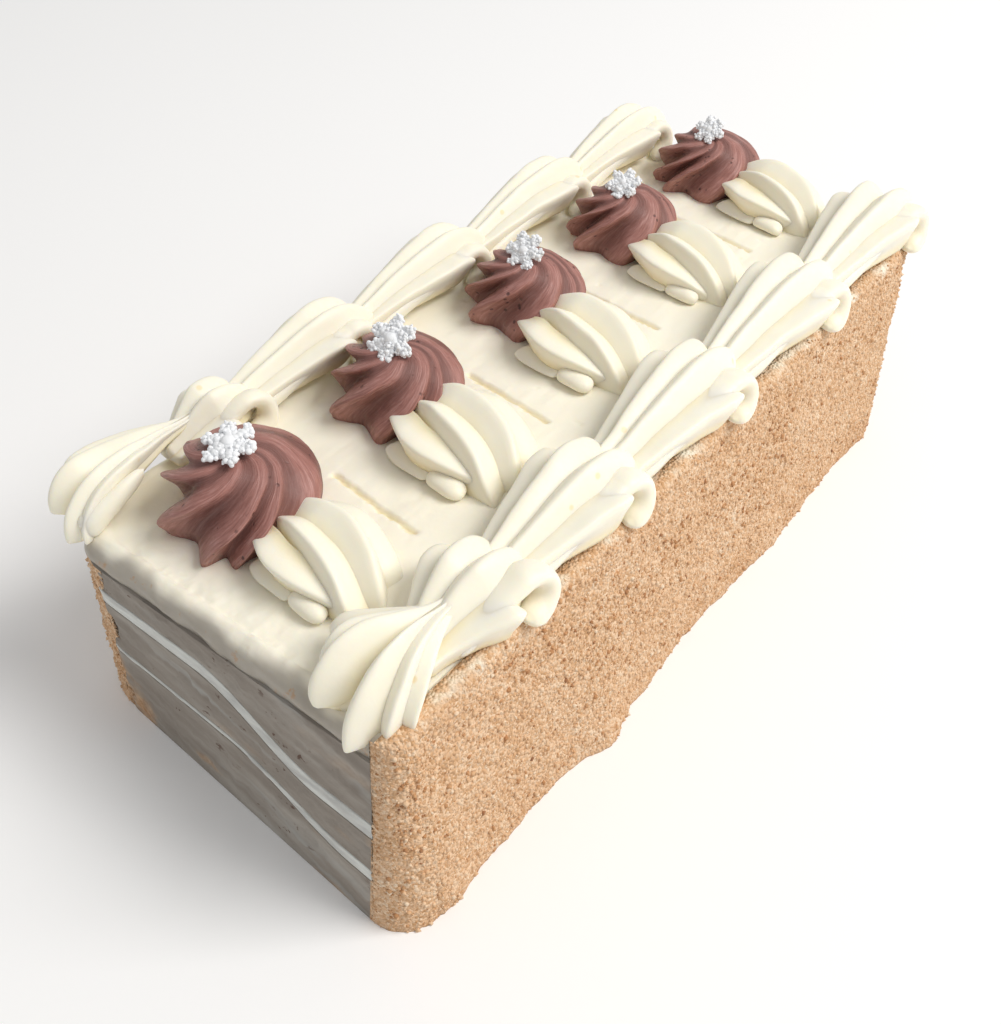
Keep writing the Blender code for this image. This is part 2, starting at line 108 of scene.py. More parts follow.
# The plan's own origin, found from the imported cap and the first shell
SHIFT = np.array([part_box("top_cream")[0].x / MM - LEFT_EDGE,
                  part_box("left_shell_1")[1].y / MM - LEFT_RUN[0][0], 0.0])


# Numbers worked out as whole arrays

def ease(value):
    """Smooth step from 0 to 1: three squares less two cubes."""
    value = np.clip(value, 0.0, 1.0)
    return value * value * (3 - 2 * value)


def hump(value, middle, spread):
    """A bell curve: 1 at the middle, falling off over the spread."""
    return np.exp(-((value - middle) / spread) ** 2)


def noise(points, size, seed=0):
    """Smooth noise from -1 to 1.

    Each corner of a lattice of cells of this size holds a number hashed from its place,
    and a point eases between the eight corners round it.
    """
    cell = np.asarray(points) / size
    low = np.floor(cell).astype(np.int64)
    share = cell - low
    share = share * share * (3 - 2 * share)
    total = 0.0
    for corner in range(8):
        step = np.array([corner & 1, corner >> 1 & 1, corner >> 2 & 1])
        key = (low + step) @ np.array([73856093, 19349663, 83492791]) + seed * 7919 + 12345
        key = (key ^ (key >> 13)) * 1274126177
        value = ((key ^ (key >> 16)) & 0xffff) / 32767.5 - 1
        weight = np.prod(np.where(step == 1, share, 1 - share), axis=-1)
        total = total + value * weight
    return total


def rough(points, size, octaves=3, seed=0):
    """Noise upon noise: each octave has half the size and half the height of the last."""
    total = 0.0
    for octave in range(octaves):
        total = total + noise(points, size / 2 ** octave, seed + octave) / 2 ** octave
    return total


def unit(vectors):
    """Each vector divided by its own length."""
    return vectors / np.maximum(np.linalg.norm(vectors, axis=-1, keepdims=True), 1e-9)


# Parts of meshes: points, quads and triangles, with a shade and a flow for each point

class Part:
    """A closed piece of surface, and what its material reads from each of its points."""

    def __init__(self, points, quads, triangles, shade=None, flow=None):
        self.points = np.asarray(points, float)
        self.quads = np.asarray(quads, int).reshape(-1, 4)
        self.triangles = np.asarray(triangles, int).reshape(-1, 3)
        count = len(self.points)
        self.shade = np.zeros(count) if shade is None else np.asarray(shade, float).reshape(-1)
        self.flow = self.points.copy() if flow is None else np.asarray(flow, float).reshape(-1, 3)

    def turned_out(self):
        """The part with its faces pointing out, where its tetrahedra to the origin sum to more than 0."""
        split = np.concatenate([self.quads[:, [0, 1, 2]], self.quads[:, [0, 2, 3]], self.triangles])
        a, b, c = (self.points[split[:, corner]] for corner in range(3))
        if np.einsum("ij,ij->i", a, np.cross(b, c)).sum() < 0:
            self.quads = self.quads[:, ::-1]
            self.triangles = self.triangles[:, ::-1]
        return self


def grid_quads(rows, columns, wrap=False):
    """Quads between the rows and columns of a grid, closed round its columns where it wraps."""
    row = np.arange(rows - 1)[:, None]
    column = np.arange(columns if wrap else columns - 1)[None, :]
    after = (column + 1) % columns
    corners = (row * columns + column, row * columns + after,
               (row + 1) * columns + after, (row + 1) * columns + column)
    return np.stack(np.broadcast_arrays(*corners), -1).reshape(-1, 4)


def closed_tube(rings, shade=None, flow=None):
    """A tube of rings, each end closed by a fan to the middle of its last ring."""
    count, around = rings.shape[:2]
    points = np.concatenate([rings.reshape(-1, 3), rings[:1].mean(1), rings[-1:].mean(1)])
    column = np.arange(around)
    after = (column + 1) % around
    first, last = count * around, (count - 1) * around
    near_fan = np.stack([np.full(around, first), after, column], -1)
    far_fan = np.stack([np.full(around, first + 1), last + column, last + after], -1)
    if shade is not None:
        shade = np.concatenate([shade.reshape(-1), shade[:1].mean(1), shade[-1:].mean(1)])
    if flow is not None:
        flow = np.concatenate([flow.reshape(-1, 3), flow[:1].mean(1), flow[-1:].mean(1)])
    return Part(points, grid_quads(count, around, True), np.concatenate([near_fan, far_fan]), shade, flow)


def add_piece(name, parts, material, replaces=()):
    """One object from several parts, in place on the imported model, with its material."""
    parts = [part.turned_out() for part in parts]
    starts = np.cumsum([0] + [len(part.points) for part in parts[:-1]])
    points = (np.concatenate([part.points for part in parts]) + SHIFT) * MM
    quads = np.concatenate([part.quads + start for part, start in zip(parts, starts)])
    triangles = np.concatenate([part.triangles + start for part, start in zip(parts, starts)])
    corners = np.concatenate([quads.reshape(-1), triangles.reshape(-1)])
    firsts = np.concatenate([np.arange(len(quads)) * 4, len(quads) * 4 + np.arange(len(triangles)) * 3])
    mesh = bpy.data.meshes.new(name)
    mesh.vertices.add(len(points))
    mesh.vertices.foreach_set("co", points.astype(np.float32).reshape(-1))
    mesh.loops.add(len(corners))
    mesh.loops.foreach_set("vertex_index", corners.astype(np.int32))
    mesh.polygons.add(len(firsts))
    mesh.polygons.foreach_set("loop_start", firsts.astype(np.int32))
    mesh.polygons.foreach_set("use_smooth", np.ones(len(firsts), bool))
    mesh.update(calc_edges=True)
    mesh.validate()
    for key, kind, field in (("shade", "FLOAT", "value"), ("flow", "FLOAT_VECTOR", "vector")):
        values = np.concatenate([getattr(part, key) for part in parts]).astype(np.float32)
        mesh.attributes.new(key, kind, "POINT").data.foreach_set(field, values.reshape(-1))
    mesh.materials.append(material)
    piece = bpy.data.objects.new(name, mesh)
    bpy.context.scene.collection.objects.link(piece)
    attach(piece, "root")
    if replaces:
        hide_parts(*replaces)


# Materials

class Socket:
    """A value in a shader that takes part in ordinary sums, each sum adding a Math node."""

    def __init__(self, paint, output):
        self.paint = paint
        self.output = output

    def _sum(self, operation, first, second):
        return self.paint.node("ShaderNodeMath", {"operation": operation}, {0: first, 1: second})

    def __add__(self, other):
        return self._sum("ADD", self, other)

    def __sub__(self, other):
        return self._sum("SUBTRACT", self, other)

    def __rsub__(self, other):
        return self._sum("SUBTRACT", other, self)

    def __mul__(self, other):
        return self._sum("MULTIPLY", self, other)

    __radd__ = __add__
    __rmul__ = __mul__


class Paint:
    """A Principled material, and the nodes that feed it.

    Soaking says how much light goes in, how far each colour goes, and that depth in metres.
    """

    def __init__(self, name, roughness, specular=0.5, soaking=None):
        self.material = bpy.data.materials.new(name)
        self.material.use_nodes = True
        self.tree = self.material.node_tree
        self.shader = self.tree.nodes["Principled BSDF"]
        constants = {"Roughness": roughness, "Specular IOR Level": specular}
        if soaking:
            constants.update(zip(("Subsurface Weight", "Subsurface Radius", "Subsurface Scale"), soaking))
        for key, value in constants.items():
            self.shader.inputs[key].default_value = value

    def node(self, kind, settings=None, inputs=None, output=0):
        """Adds a node, sets it up, and gives one of its outputs."""
        node = self.tree.nodes.new(kind)
        for key, value in (settings or {}).items():
            if key == "stops":
                self._set_stops(node.color_ramp, value)
            else:
                setattr(node, key, value)
        for key, value in (inputs or {}).items():
            if isinstance(value, Socket):
                self.tree.links.new(value.output, node.inputs[key])
            else:
                node.inputs[key].default_value = value
        return Socket(self, node.outputs[output])

    @staticmethod
    def _set_stops(ramp, stops):
        while len(ramp.elements) < len(stops):
            ramp.elements.new(0.5)
        for element, (place, colour) in zip(ramp.elements, stops):
            element.position = place
            element.color = colour if len(colour) == 4 else (*colour, 1.0)

    def feed(self, name, value):
        """Links a socket into the shader."""
        self.tree.links.new(value.output, self.shader.inputs[name])

    def place(self):
        """The point's place, in metres."""
        return self.node("ShaderNodeTexCoord", output="Object")

    def own(self, name, output="Fac"):
        """A value that the mesh holds for each point."""
        return self.node("ShaderNodeAttribute", {"attribute_name": name}, output=output)

    def stretch(self, vector, scale):
        """The vector times a scale along each axis."""
        return self.node("ShaderNodeVectorMath", {"operation": "MULTIPLY"}, {0: vector, 1: scale})

    def clouds(self, vector, scale, detail=3.0, roughness=0.55):
        """Noise from 0 to 1, with this many cells to each unit of the vector."""
        return self.node("ShaderNodeTexNoise", {"noise_dimensions": "3D"},
                         {"Vector": vector, "Scale": scale, "Detail": detail, "Roughness": roughness})

    def cells(self, vector, scale, output="Distance"):
        """Distance to the middle of a random cell, or that cell's colour."""
        return self.node("ShaderNodeTexVoronoi", None, {"Vector": vector, "Scale": scale}, output=output)

    def ramp(self, value, *stops):
        """A colour for each value, from the stops."""
        return self.node("ShaderNodeValToRGB", {"stops": stops}, {"Fac": value})

    def between(self, value, low, high):
        """0 below low and 1 above high, easing between them."""
        return self.node("ShaderNodeMapRange", {"interpolation_type": "SMOOTHSTEP"},
                         {"Value": value, "From Min": low, "From Max": high})

    def mix(self, share, first, second):
        """One colour going over to another by a share."""
        first = (*first, 1.0) if isinstance(first, tuple) and len(first) == 3 else first
        second = (*second, 1.0) if isinstance(second, tuple) and len(second) == 3 else second
        return self.node("ShaderNodeMix", {"data_type": "RGBA"}, {0: share, 6: first, 7: second}, output=2)

    def bump(self, height, distance, strength=1.0):
        """Turns a height into the shader's normal."""
        self.feed("Normal", self.node("ShaderNodeBump", None, {
            "Height": height, "Distance": distance, "Strength": strength}, output="Normal"))


CREAM_SOAK = (1.0, 0.75, 0.4)


def piped_cream():
    """Whipped cream with smooth crests, painted yellow shade in the hollows between them, and a few buttery
    specks.
    """
    paint = Paint("piped_cream", 0.42, 0.35, (0.25, CREAM_SOAK, 0.0022))
    place = paint.place()
    # Painted shade: the hollows between the crests are tinted yellower.
    valley_shade = paint.between(paint.own("shade"), 0.35, 1.0)
    patch = paint.clouds(place, 90.0)
    colour = paint.mix(valley_shade, (0.95, 0.894, 0.745), (0.93, 0.81, 0.52))
    colour = paint.mix(patch * 0.35, colour, (0.96, 0.92, 0.80))
    speck = 1 - paint.between(paint.cells(place, 95.0), 0.04, 0.09)
    colour = paint.mix(speck * 0.5, colour, (0.90, 0.68, 0.30))
    paint.feed("Base Color", colour)
    paint.bump(paint.clouds(place, 700.0) * 0.4 + paint.clouds(place, 200.0), 0.00025, 0.35)
    return paint.material


def cap_cream():
    """Spread cream: knife strokes, painted yellow shade in the portion lines, and grey crumb smear at the
    cuts, darkened there as painted shade.
    """
    paint = Paint("cap_cream", 0.5, 0.35, (0.2, CREAM_SOAK, 0.002))
    place = paint.place()
    strokes = paint.clouds(paint.stretch(place, (420.0, 60.0, 260.0)), 1.0, 4.0)
    patch = paint.clouds(place, 60.0)
    colour = paint.mix(patch, (0.97, 0.93, 0.82), (0.96, 0.90, 0.74))
    # Painted shade: the grooves of the portion lines are tinted yellower.
    colour = paint.mix(paint.own("shade"), colour, (0.88, 0.77, 0.50))
    crumbs = paint.between(paint.clouds(place, 260.0, 4.0, 0.7), 0.60, 0.70)
    # Near the cut ends the cream goes grey: partly a real smear of crumb, partly painted shade of the
    # shadowed cut faces.
    smear = paint.own("flow", "Fac")
    smear_and_shade_greys = paint.mix(paint.clouds(place, 130.0), (0.34, 0.30, 0.25), (0.52, 0.48, 0.41))
    colour = paint.mix(smear, colour, smear_and_shade_greys)
    colour = paint.mix(crumbs * smear * 0.6, colour, (0.50, 0.27, 0.12))
    paint.feed("Base Color", colour)
    paint.bump(strokes * 0.7 + paint.clouds(place, 500.0) * 0.5, 0.0004, 0.5)
    return paint.material


def chocolate_cream():
    """Chocolate cream: streaks along each fold, painted dark shade in the hollows between fins, dark pores,
    and a soft sheen.
    """
    paint = Paint("chocolate_cream", 0.45, 0.4, (0.08, (1.0, 0.5, 0.35), 0.001))
    flow = paint.own("flow", "Vector")
    place = paint.place()
    streak = paint.clouds(paint.stretch(flow, (0.25, 3.2, 1.0)), 1.0, 4.0, 0.65)
    valley_shade = paint.between(paint.own("shade"), 0.3, 1.0)
    colour = paint.ramp(streak, (0.30, (0.26, 0.110, 0.088)), (0.52, (0.39, 0.180, 0.152)),
                        (0.75, (0.55, 0.31, 0.28)))
    # Painted shade: the hollows between the fins are darkened nearly to black.
    colour = paint.mix(valley_shade * 0.62, colour, (0.115, 0.046, 0.038))
    group = paint.between(paint.clouds(place, 150.0), 0.50, 0.58)
    pore = (1 - paint.between(paint.cells(place, 420.0), 0.12, 0.24)) * group
    colour = paint.mix(pore * 0.7, colour, (0.03, 0.014, 0.014))
    paint.feed("Base Color", colour)
    paint.bump(streak - pore * 0.8, 0.0005, 0.5)
    return paint.material


def sugar():
    """Pressed sugar: matt, grainy, a little bluish."""
    paint = Paint("sugar_white", 0.75, soaking=(0.2, (1.0, 1.0, 1.0), 0.001))
    place = paint.place()
    colour = paint.mix(paint.clouds(place, 900.0), (0.88, 0.905, 0.945), (0.97, 0.975, 0.985))
    paint.feed("Base Color", colour)
    paint.bump(paint.clouds(place, 1500.0), 0.0003, 0.5)
    return paint.material


def sponge_crumb():
    """Sponge under a smear of cream: grey beige, softly streaked, with brown specks and bare crumb. Its
    grey beige and its cream smear are darkened as painted shade of the cut faces.
    """
    paint = Paint("sponge_crumb", 0.8, 0.25)
    place = paint.place()
    slope = paint.node("ShaderNodeMapping", {"vector_type": "TEXTURE"}, {
        "Vector": place, "Rotation": (0.0, 0.16, 0.0), "Scale": (0.034, 0.034, 0.0045)})
    streak = paint.clouds(slope, 1.0, 4.0, 0.5)
    # Painted shade: these grey beiges and the smear colour below are darker than the sponge and cream under
    # any lamp, for the cut faces in shadow.
    colour = paint.ramp(streak, (0.3, (0.25, 0.215, 0.182)), (0.52, (0.325, 0.287, 0.248)),
                        (0.75, (0.44, 0.405, 0.36)))
    smear = paint.between(paint.clouds(slope, 0.7, 2.0), 0.56, 0.70)
    colour = paint.mix(smear * 0.45, colour, (0.50, 0.51, 0.49))
    bare = paint.own("shade")
    crumb = paint.ramp(paint.clouds(place, 500.0, 4.0, 0.7),
                       (0.35, (0.42, 0.22, 0.10)), (0.62, (0.66, 0.46, 0.29)))
    colour = paint.mix(bare, colour, crumb)
    group = paint.between(paint.clouds(place, 70.0, 2.0), 0.50, 0.60)
    speck = paint.between(paint.clouds(paint.stretch(place, (1.0, 1.0, 1.6)), 330.0, 3.0, 0.6), 0.62, 0.67)
    colour = paint.mix(speck * group * 0.85, colour, (0.115, 0.062, 0.042))
    paint.feed("Base Color", colour)
    paint.bump(streak + paint.clouds(place, 900.0) * 0.7, 0.0006, 0.5)
    return paint.material


def filling_cream():
    """The cream between the sponges, a cool grey white, darkened as painted shade of the cut faces."""
    paint = Paint("filling_cream", 0.45, soaking=(0.1, (1.0, 0.8, 0.6), 0.001))
    place = paint.place()
    smear = paint.clouds(paint.stretch(place, (90.0, 90.0, 500.0)), 1.0, 4.0)
    # Painted shade: both greys are darker than the cream's own white, for the cut faces in shadow.
    paint.feed("Base Color", paint.ramp(smear, (0.35, (0.50, 0.50, 0.475)), (0.65, (0.72, 0.73, 0.69))))
    paint.bump(smear, 0.0005, 0.5)
    return paint.material


def crumb_base():
    """The bed of fine crumbs: tan cells of many tones, and cream showing through along its top edge."""
    paint = Paint("crumb_base", 0.9, 0.2)
    place = paint.place()
    tone = paint.node("ShaderNodeSeparateColor", None, {0: paint.cells(place, 1500.0, "Color")}, output=0)
    large = paint.clouds(place, 45.0, 4.0)
    colour = paint.ramp(tone * 0.6 + large * 0.6, (0.10, (0.40, 0.19, 0.09)), (0.30, (0.60, 0.35, 0.18)),
                        (0.58, (0.74, 0.48, 0.29)), (0.85, (0.82, 0.60, 0.41)), (1.0, (0.86, 0.68, 0.50)))
    height = paint.node("ShaderNodeSeparateXYZ", None, {0: place}, output="Z")
    bare = paint.between(height + paint.clouds(place, 110.0) * 0.012, 0.0572, 0.0600)
    colour = paint.mix(bare, colour, (0.93, 0.88, 0.75))
    paint.feed("Base Color", colour)
    paint.bump(paint.cells(place, 1500.0) * -1.0 + paint.clouds(place, 600.0), 0.0006, 0.8)
    return paint.material


def crumb_grain():
    """Loose crumbs, each with its own tone from pale to toasted brown."""
    paint = Paint("crumb_grain", 0.85, 0.25)
    place = paint.place()
    colour = paint.ramp(paint.own("shade"), (0.0, (0.24, 0.10, 0.05)), (0.12, (0.50, 0.25, 0.11)),
                        (0.3, (0.68, 0.42, 0.23)), (0.65, (0.78, 0.54, 0.34)), (1.0, (0.88, 0.72, 0.54)))
    colour = paint.mix(paint.clouds(place, 2500.0) * 0.2, colour, (0.62, 0.36, 0.20))
    paint.feed("Base Color", colour)
    paint.bump(paint.clouds(place, 3000.0), 0.0003, 0.5)
    return paint.material


def floor_paint():
    """A plain pale floor."""
    paint = Paint("pale_floor", 0.9)
    cloud = paint.clouds(paint.place(), 2.0)
    paint.feed("Base Color", paint.mix(cloud, (0.97, 0.97, 0.97), (0.98, 0.98, 0.98)))
    return paint.material


# The block's own lines

def layer_share(x, layer):
    """How far a filling has gone over from its left to its right measures at x."""
    return ease((x - layer["middle"]) / (2 * layer["spread"]) + 0.5)


def layer_height(x, layer):
    """Underside of a filling: it eases down from the left to the right of the block."""
    return layer["left"] + (layer["right"] - layer["left"]) * layer_share(x, layer)


def layer_top(x, layer):
    """Top of a filling, from its underside and its thickness there."""
    thicker = (layer["thick_right"] - layer["thick_left"]) * layer_share(x, layer)
    return layer_height(x, layer) + layer["thick_left"] + thicker


def near_face(x, z):
    """Y of the near cut, which leans out towards its foot, more so at the right."""
    across = (x - LEFT_EDGE) / (RIGHT_EDGE - LEFT_EDGE)
    return NEAR_EDGE - (NEAR_LEAN_LEFT + (NEAR_LEAN_RIGHT - NEAR_LEAN_LEFT) * across) * (1 - z / HEIGHT)


def far_face(x, z):
    """Y of the far cut, skewed across the block and leaning in towards its foot."""
    return FAR_EDGE + FAR_SKEW * (RIGHT_EDGE - x) - FAR_LEAN * (1 - z / HEIGHT)


def corner_draw(x, left, right, corner_left, corner_right):
    """How far the plan draws in at x: a quarter circle at either side."""
    draw = np.zeros_like(x)
    for distance, corner in ((x - left, corner_left), (right - x, corner_right)):
        if corner > 0:
            inside = np.clip(1 - distance / corner, 0, 1)
            draw = draw + corner * (1 - np.sqrt(np.clip(1 - inside ** 2, 0, 1)))
    return draw


def corner_columns(left, right, corner_left, corner_right, middle):
    """X of each column of a plan, closer together round its corners."""
    turn = np.linspace(0, math.pi / 2, 15)
    start = left + corner_left * (1 - np.cos(turn))
    end = (right - corner_right * (1 - np.cos(turn)))[::-1] if corner_right else np.array([right])
    return np.concatenate([start, np.linspace(start[-1], end[0], middle)[1:-1], end])


LAYER_COLUMNS, LAYER_STEP = 190, 0.45


def make_layer(name, low, high, material, bare, relief):
    """One layer of the block, run along X.

    Each column is a loop: up the near face, back along the top, down the far face and
    along the underside.  The relief moves the two cut faces in, less towards the
    layer's edges, and bare says how much of the crumb shows.
    """
    x = corner_columns(CORE_LEFT, CORE_RIGHT, CORE_CORNER, 0.0, LAYER_COLUMNS)
    draw = corner_draw(x, CORE_LEFT, CORE_RIGHT, CORE_CORNER, 0.0)
    bottom, top = low(x), high(x)
    steps = max(8, int((top - bottom).max() / LAYER_STEP))
    rise = bottom[:, None] + (top - bottom)[:, None] * np.linspace(0, 1, steps + 1)
    wide = np.broadcast_to(x[:, None], rise.shape)
    near = np.stack([wide, near_face(wide, rise) + draw[:, None], rise], -1)
    far = np.stack([wide, far_face(wide, rise) - draw[:, None], rise], -1)
    inner = np.sin(np.linspace(0, math.pi, steps + 1)) ** 0.3
    near_depth, far_depth = relief(near) * inner, relief(far + 40.0) * inner
    near[..., 1] += near_depth
    far[..., 1] -= far_depth
    rings = np.concatenate([near, far[:, ::-1]], 1)
    shade = np.concatenate([bare(near), bare(far)[:, ::-1]], 1)
    add_piece(name, [closed_tube(rings, shade)], material, [name])


# Piped ropes and ridges

def piped_path(start, length, spread, fan, rise, curl, bend=0.55, count=60):
    """The middle line of a rope or ridge, and its heading at each station.

    The line is a running sum of equal steps.  The heading goes from the spread to
    nothing by half way and on to the fan angle after the bend.  The pitch goes from the
    rise to level at the bend, then on to the curl.  Angles are in degrees, headings
    turn from +Y towards +X.
    """
    share = np.linspace(0, 1, count)
    after = np.clip((share - bend) / (1 - bend), 0, 1)
    heading = np.radians(spread * (1 - ease(share / 0.5)) + fan * ease(after))
    pitch = np.radians(rise * (1 - ease(share / bend)) + curl * after ** 1.4)
    step = np.stack([np.cos(pitch) * np.sin(heading), np.cos(pitch) * np.cos(heading), np.sin(pitch)], -1)
    path = np.asarray(start, float) + np.cumsum(step, 0) * length / (count - 1)
    return path, heading


def section_axes(path, heading):
    """Across and up at each station of a path; across stays level, turned with the heading."""
    along = unit(np.gradient(path, axis=0))
    side = np.stack([np.cos(heading), -np.sin(heading), np.zeros(len(path))], -1)
    side = unit(side - (side * along).sum(-1, keepdims=True) * along)
    return side, np.cross(side, along)


LOBE_STATIONS, LOBE_POINTS, RIDGE_POINTS = 64, 21, 26
TAIL, UNEVEN = 0.07, 0.22


def crowded(count):
    """Shares from 0 to 1, closer together towards the end: 1 less the 1.5th power of what is left."""
    return 1 - (1 - np.linspace(0, 1, count)) ** 1.5


def cut_at(values, end):
    """Values along a path, read again at crowded shares from its start to the given share of it."""
    share, wanted = np.linspace(0, 1, len(values)), end * crowded(LOBE_STATIONS)
    if values.ndim == 1:
        return np.interp(wanted, share, values)
    return np.stack([np.interp(wanted, share, column) for column in values.T], -1)


def quarter_rise(share, length):
    """Rises from 0 to 1 over the first length of the share, like a quarter circle."""
    return np.sqrt(np.clip(1 - np.clip(1 - share / length, 0, 1) ** 2, 0, 1))


def growing(size, share, first, last, over):
    """A size that eases along a path from its first part to its last, done by the share called over."""
    return size * (first + (last - first) * ease(share / over))


def softened(away, soft):
    """Distance from 0 to 1 with its kink at 0 rounded like a hyperbola."""
    return (np.sqrt(away ** 2 + soft ** 2) - soft) / (math.sqrt(1 + soft ** 2) - soft)


def lobe(path, heading, wide, tall, angle, step, depth, flare, blunt, lean, crisp,
         end=1.0, twist=0.0, taper=TAIL):
    """One fold of a piped shell: a wedge from the rope's middle line out to a rounded crest.

    The crest lies on an ellipse of half axes wide and tall, at this angle from its top,
    turning by the twist along the rope.  Its section, as wide as the step in degrees,
    falls off on either side of the crest, which the lean moves sideways, by the depth
    times the fold's width, and closes at the middle line.  The crisper the fold, the
    sharper its crest and the hollower its flanks.
    The tip rounds off like a quarter circle over the blunt share of the length, and
    opens outwards by the flare; the other end narrows like one over the taper.
    """
    path, heading, wide, tall = (cut_at(np.asarray(value), end) for value in (path, heading, wide, tall))
    share = crowded(LOBE_STATIONS)
    side, up = section_axes(path, heading)
    turn = np.radians(angle + twist * share)[:, None]
    sin, cos = np.sin(turn), np.cos(turn)
    wide, tall = wide[:, None], tall[:, None]
    opened = (1 + flare * ease((share - 0.55) / 0.45))[:, None]
    tip = quarter_rise(1 - share, blunt)[:, None]
    start = quarter_rise(share, TAIL)[:, None]
    middle_to_crest = (side * sin * wide + up * cos * tall) * opened * start * (0.84 + 0.16 * tip)
    tangent = unit(side * cos * wide - up * sin * tall)
    normal = unit(side * sin * tall + up * cos * wide)
    half = 0.58 * math.radians(step) * np.sqrt((wide * cos) ** 2 + (tall * sin) ** 2)
    half = half * np.maximum(tip, 0.02) ** 0.8 * quarter_rise(share, taper)[:, None]
    crest = path + middle_to_crest
    spot = np.linspace(-1, 1, LOBE_POINTS)
    away = np.where(spot < lean, (lean - spot) / (1 + lean), (spot - lean) / (1 - lean))
    fall = 1 - (1 - softened(away, 0.45 - 0.32 * crisp)) ** (1.0 + 0.6 * crisp)
    arc = (crest[:, None, :] + tangent[:, None, :] * (half * spot)[..., None]
           - normal[:, None, :] * (2 * depth * half * fall)[..., None])
    root = crest - middle_to_crest * (0.22 + 0.63 * tip) - normal * 0.3
    feet = np.stack([root + tangent * half * 0.3, root - tangent * half * 0.3], 1)
    rings = np.concatenate([arc, feet], 1)
    # Each point's shade is painted shade of the hollows: 0 on the crest, rising down the flanks to 1 at the
    # feet.
    return rings, np.broadcast_to(np.concatenate([fall, [1.0, 1.0]]), rings.shape[:2])


def ridge(path, heading, wide, high, deep, crest=0.9, lean=0.0, blunt=6.0):
    """A single fold carried along a path.

    Each section is a loop of cosines across and sines up: the upper half is raised to
    the crest power and leans sideways, the lower half is as deep as deep.  Both ends
    close like a superellipse of the blunt power.
    """
    count = len(path)
    share = np.linspace(0, 1, count)
    closing = ((1 - np.abs(2 * share - 1) ** blunt) ** (1 / 2.2))[:, None]
    side, up = section_axes(path, heading)
    angle = np.linspace(0, 2 * math.pi, RIDGE_POINTS, endpoint=False)
    top = np.clip(np.sin(angle), 0, 1)
    across = np.broadcast_to(wide, count)[:, None] * closing * (np.cos(angle) + lean * top)
    lift = np.where(np.sin(angle) > 0, top ** crest * high, np.sin(angle) * deep) * closing
    rings = path[:, None, :] + side[:, None, :] * across[..., None] + up[:, None, :] * lift[..., None]
    # Each point's shade is painted shade of the hollows: none on the crest, a half at the sides and
    # underneath.
    return rings, np.broadcast_to(0.5 * (1 - top), (count, RIDGE_POINTS))


def rest_height(points):
    """Height of what the piping rests on: the cap, rounding off at its edges, and nothing beyond them."""
    x, y = points[..., 0], points[..., 1]
    inside = np.minimum(np.minimum(x - LEFT_EDGE, RIGHT_EDGE - x), y - NEAR_EDGE)
    bend = np.clip(1 - inside / EDGE_ROUND, 0, 1)
    rest = HEIGHT - SINK - EDGE_ROUND * (1 - np.sqrt(1 - bend ** 2))
    return np.where(inside > 0, rest, HEIGHT - HANG)


def turn_about_z(points, heading):
    """Points turned about Z by this many degrees."""
    cos, sin = math.cos(math.radians(heading)), math.sin(math.radians(heading))
    return np.stack([points[..., 0] * cos - points[..., 1] * sin,
                     points[..., 0] * sin + points[..., 1] * cos, points[..., 2]], -1)


def placed_part(shape, seed, x, y, heading):
    """A fold with a little unevenness, turned so that heading 0 keeps +Y, and set on the cap."""
    rings, shade = shape
    wave = np.stack([rough(rings + seed * 13.0 + shift, 8.0, 2, seed) for shift in (0.0, 50.0, 90.0)], -1)
    points = turn_about_z(rings + UNEVEN * wave, heading) + np.array([x, y, PIPING_BASE])
    points[..., 2] = np.maximum(points[..., 2], rest_height(points))
    return closed_tube(points, shade)


# Angle from the top, share of the length, width in degrees, and lean of each lobe of a border shell
BORDER_LOBES = [(-102, 0.80, 34.0, 0.0), (-68, 0.95, 38.0, -0.1), (-30, 0.985, 42.0, -0.2),
                (12, 0.985, 50.0, -0.35), (56, 0.84, 46.0, -0.2)]
BORDER_FOLD = dict(twist=8.0, depth=0.62, flare=0.08, blunt=0.11, crisp=0.35)
# How the half width and the height of a shell grow: first and last part, and by which share of its length
BORDER_WIDE, BORDER_TALL = (0.42, 1.0, 0.92), (0.27, 0.82, 0.86)
SCROLL_RADIUS, SCROLL_CLIMB, SCROLL_ROUND = 0.37, 40, 50


def border_shell(length, half_width, height, seed):
    """A shell of a border: a low tail, five lobes that fan out and roll over the head, and a scroll."""
    luck = np.random.default_rng(seed).uniform(-1, 1, 12)
    path, heading = piped_path((0.06 * half_width, 0.0, 0.11 * height), (length - 0.72 * height) / 0.94,
                               0.0, 3 * luck[0], 7.0, -78.0, 0.78)
    share = np.linspace(0, 1, len(path))
    wide, tall = growing(half_width, share, *BORDER_WIDE), growing(height, share, *BORDER_TALL)
    shapes = []
    for number, (angle, end, step, lean) in enumerate(BORDER_LOBES):
        shapes.append(lobe(path, heading, wide, tall, angle + 4 * luck[number + 1], step, lean=lean,
                           end=end + 0.012 * luck[number + 6], **BORDER_FOLD))
    return shapes + [border_scroll(length, half_width, height, -128 + 12 * luck[10])]


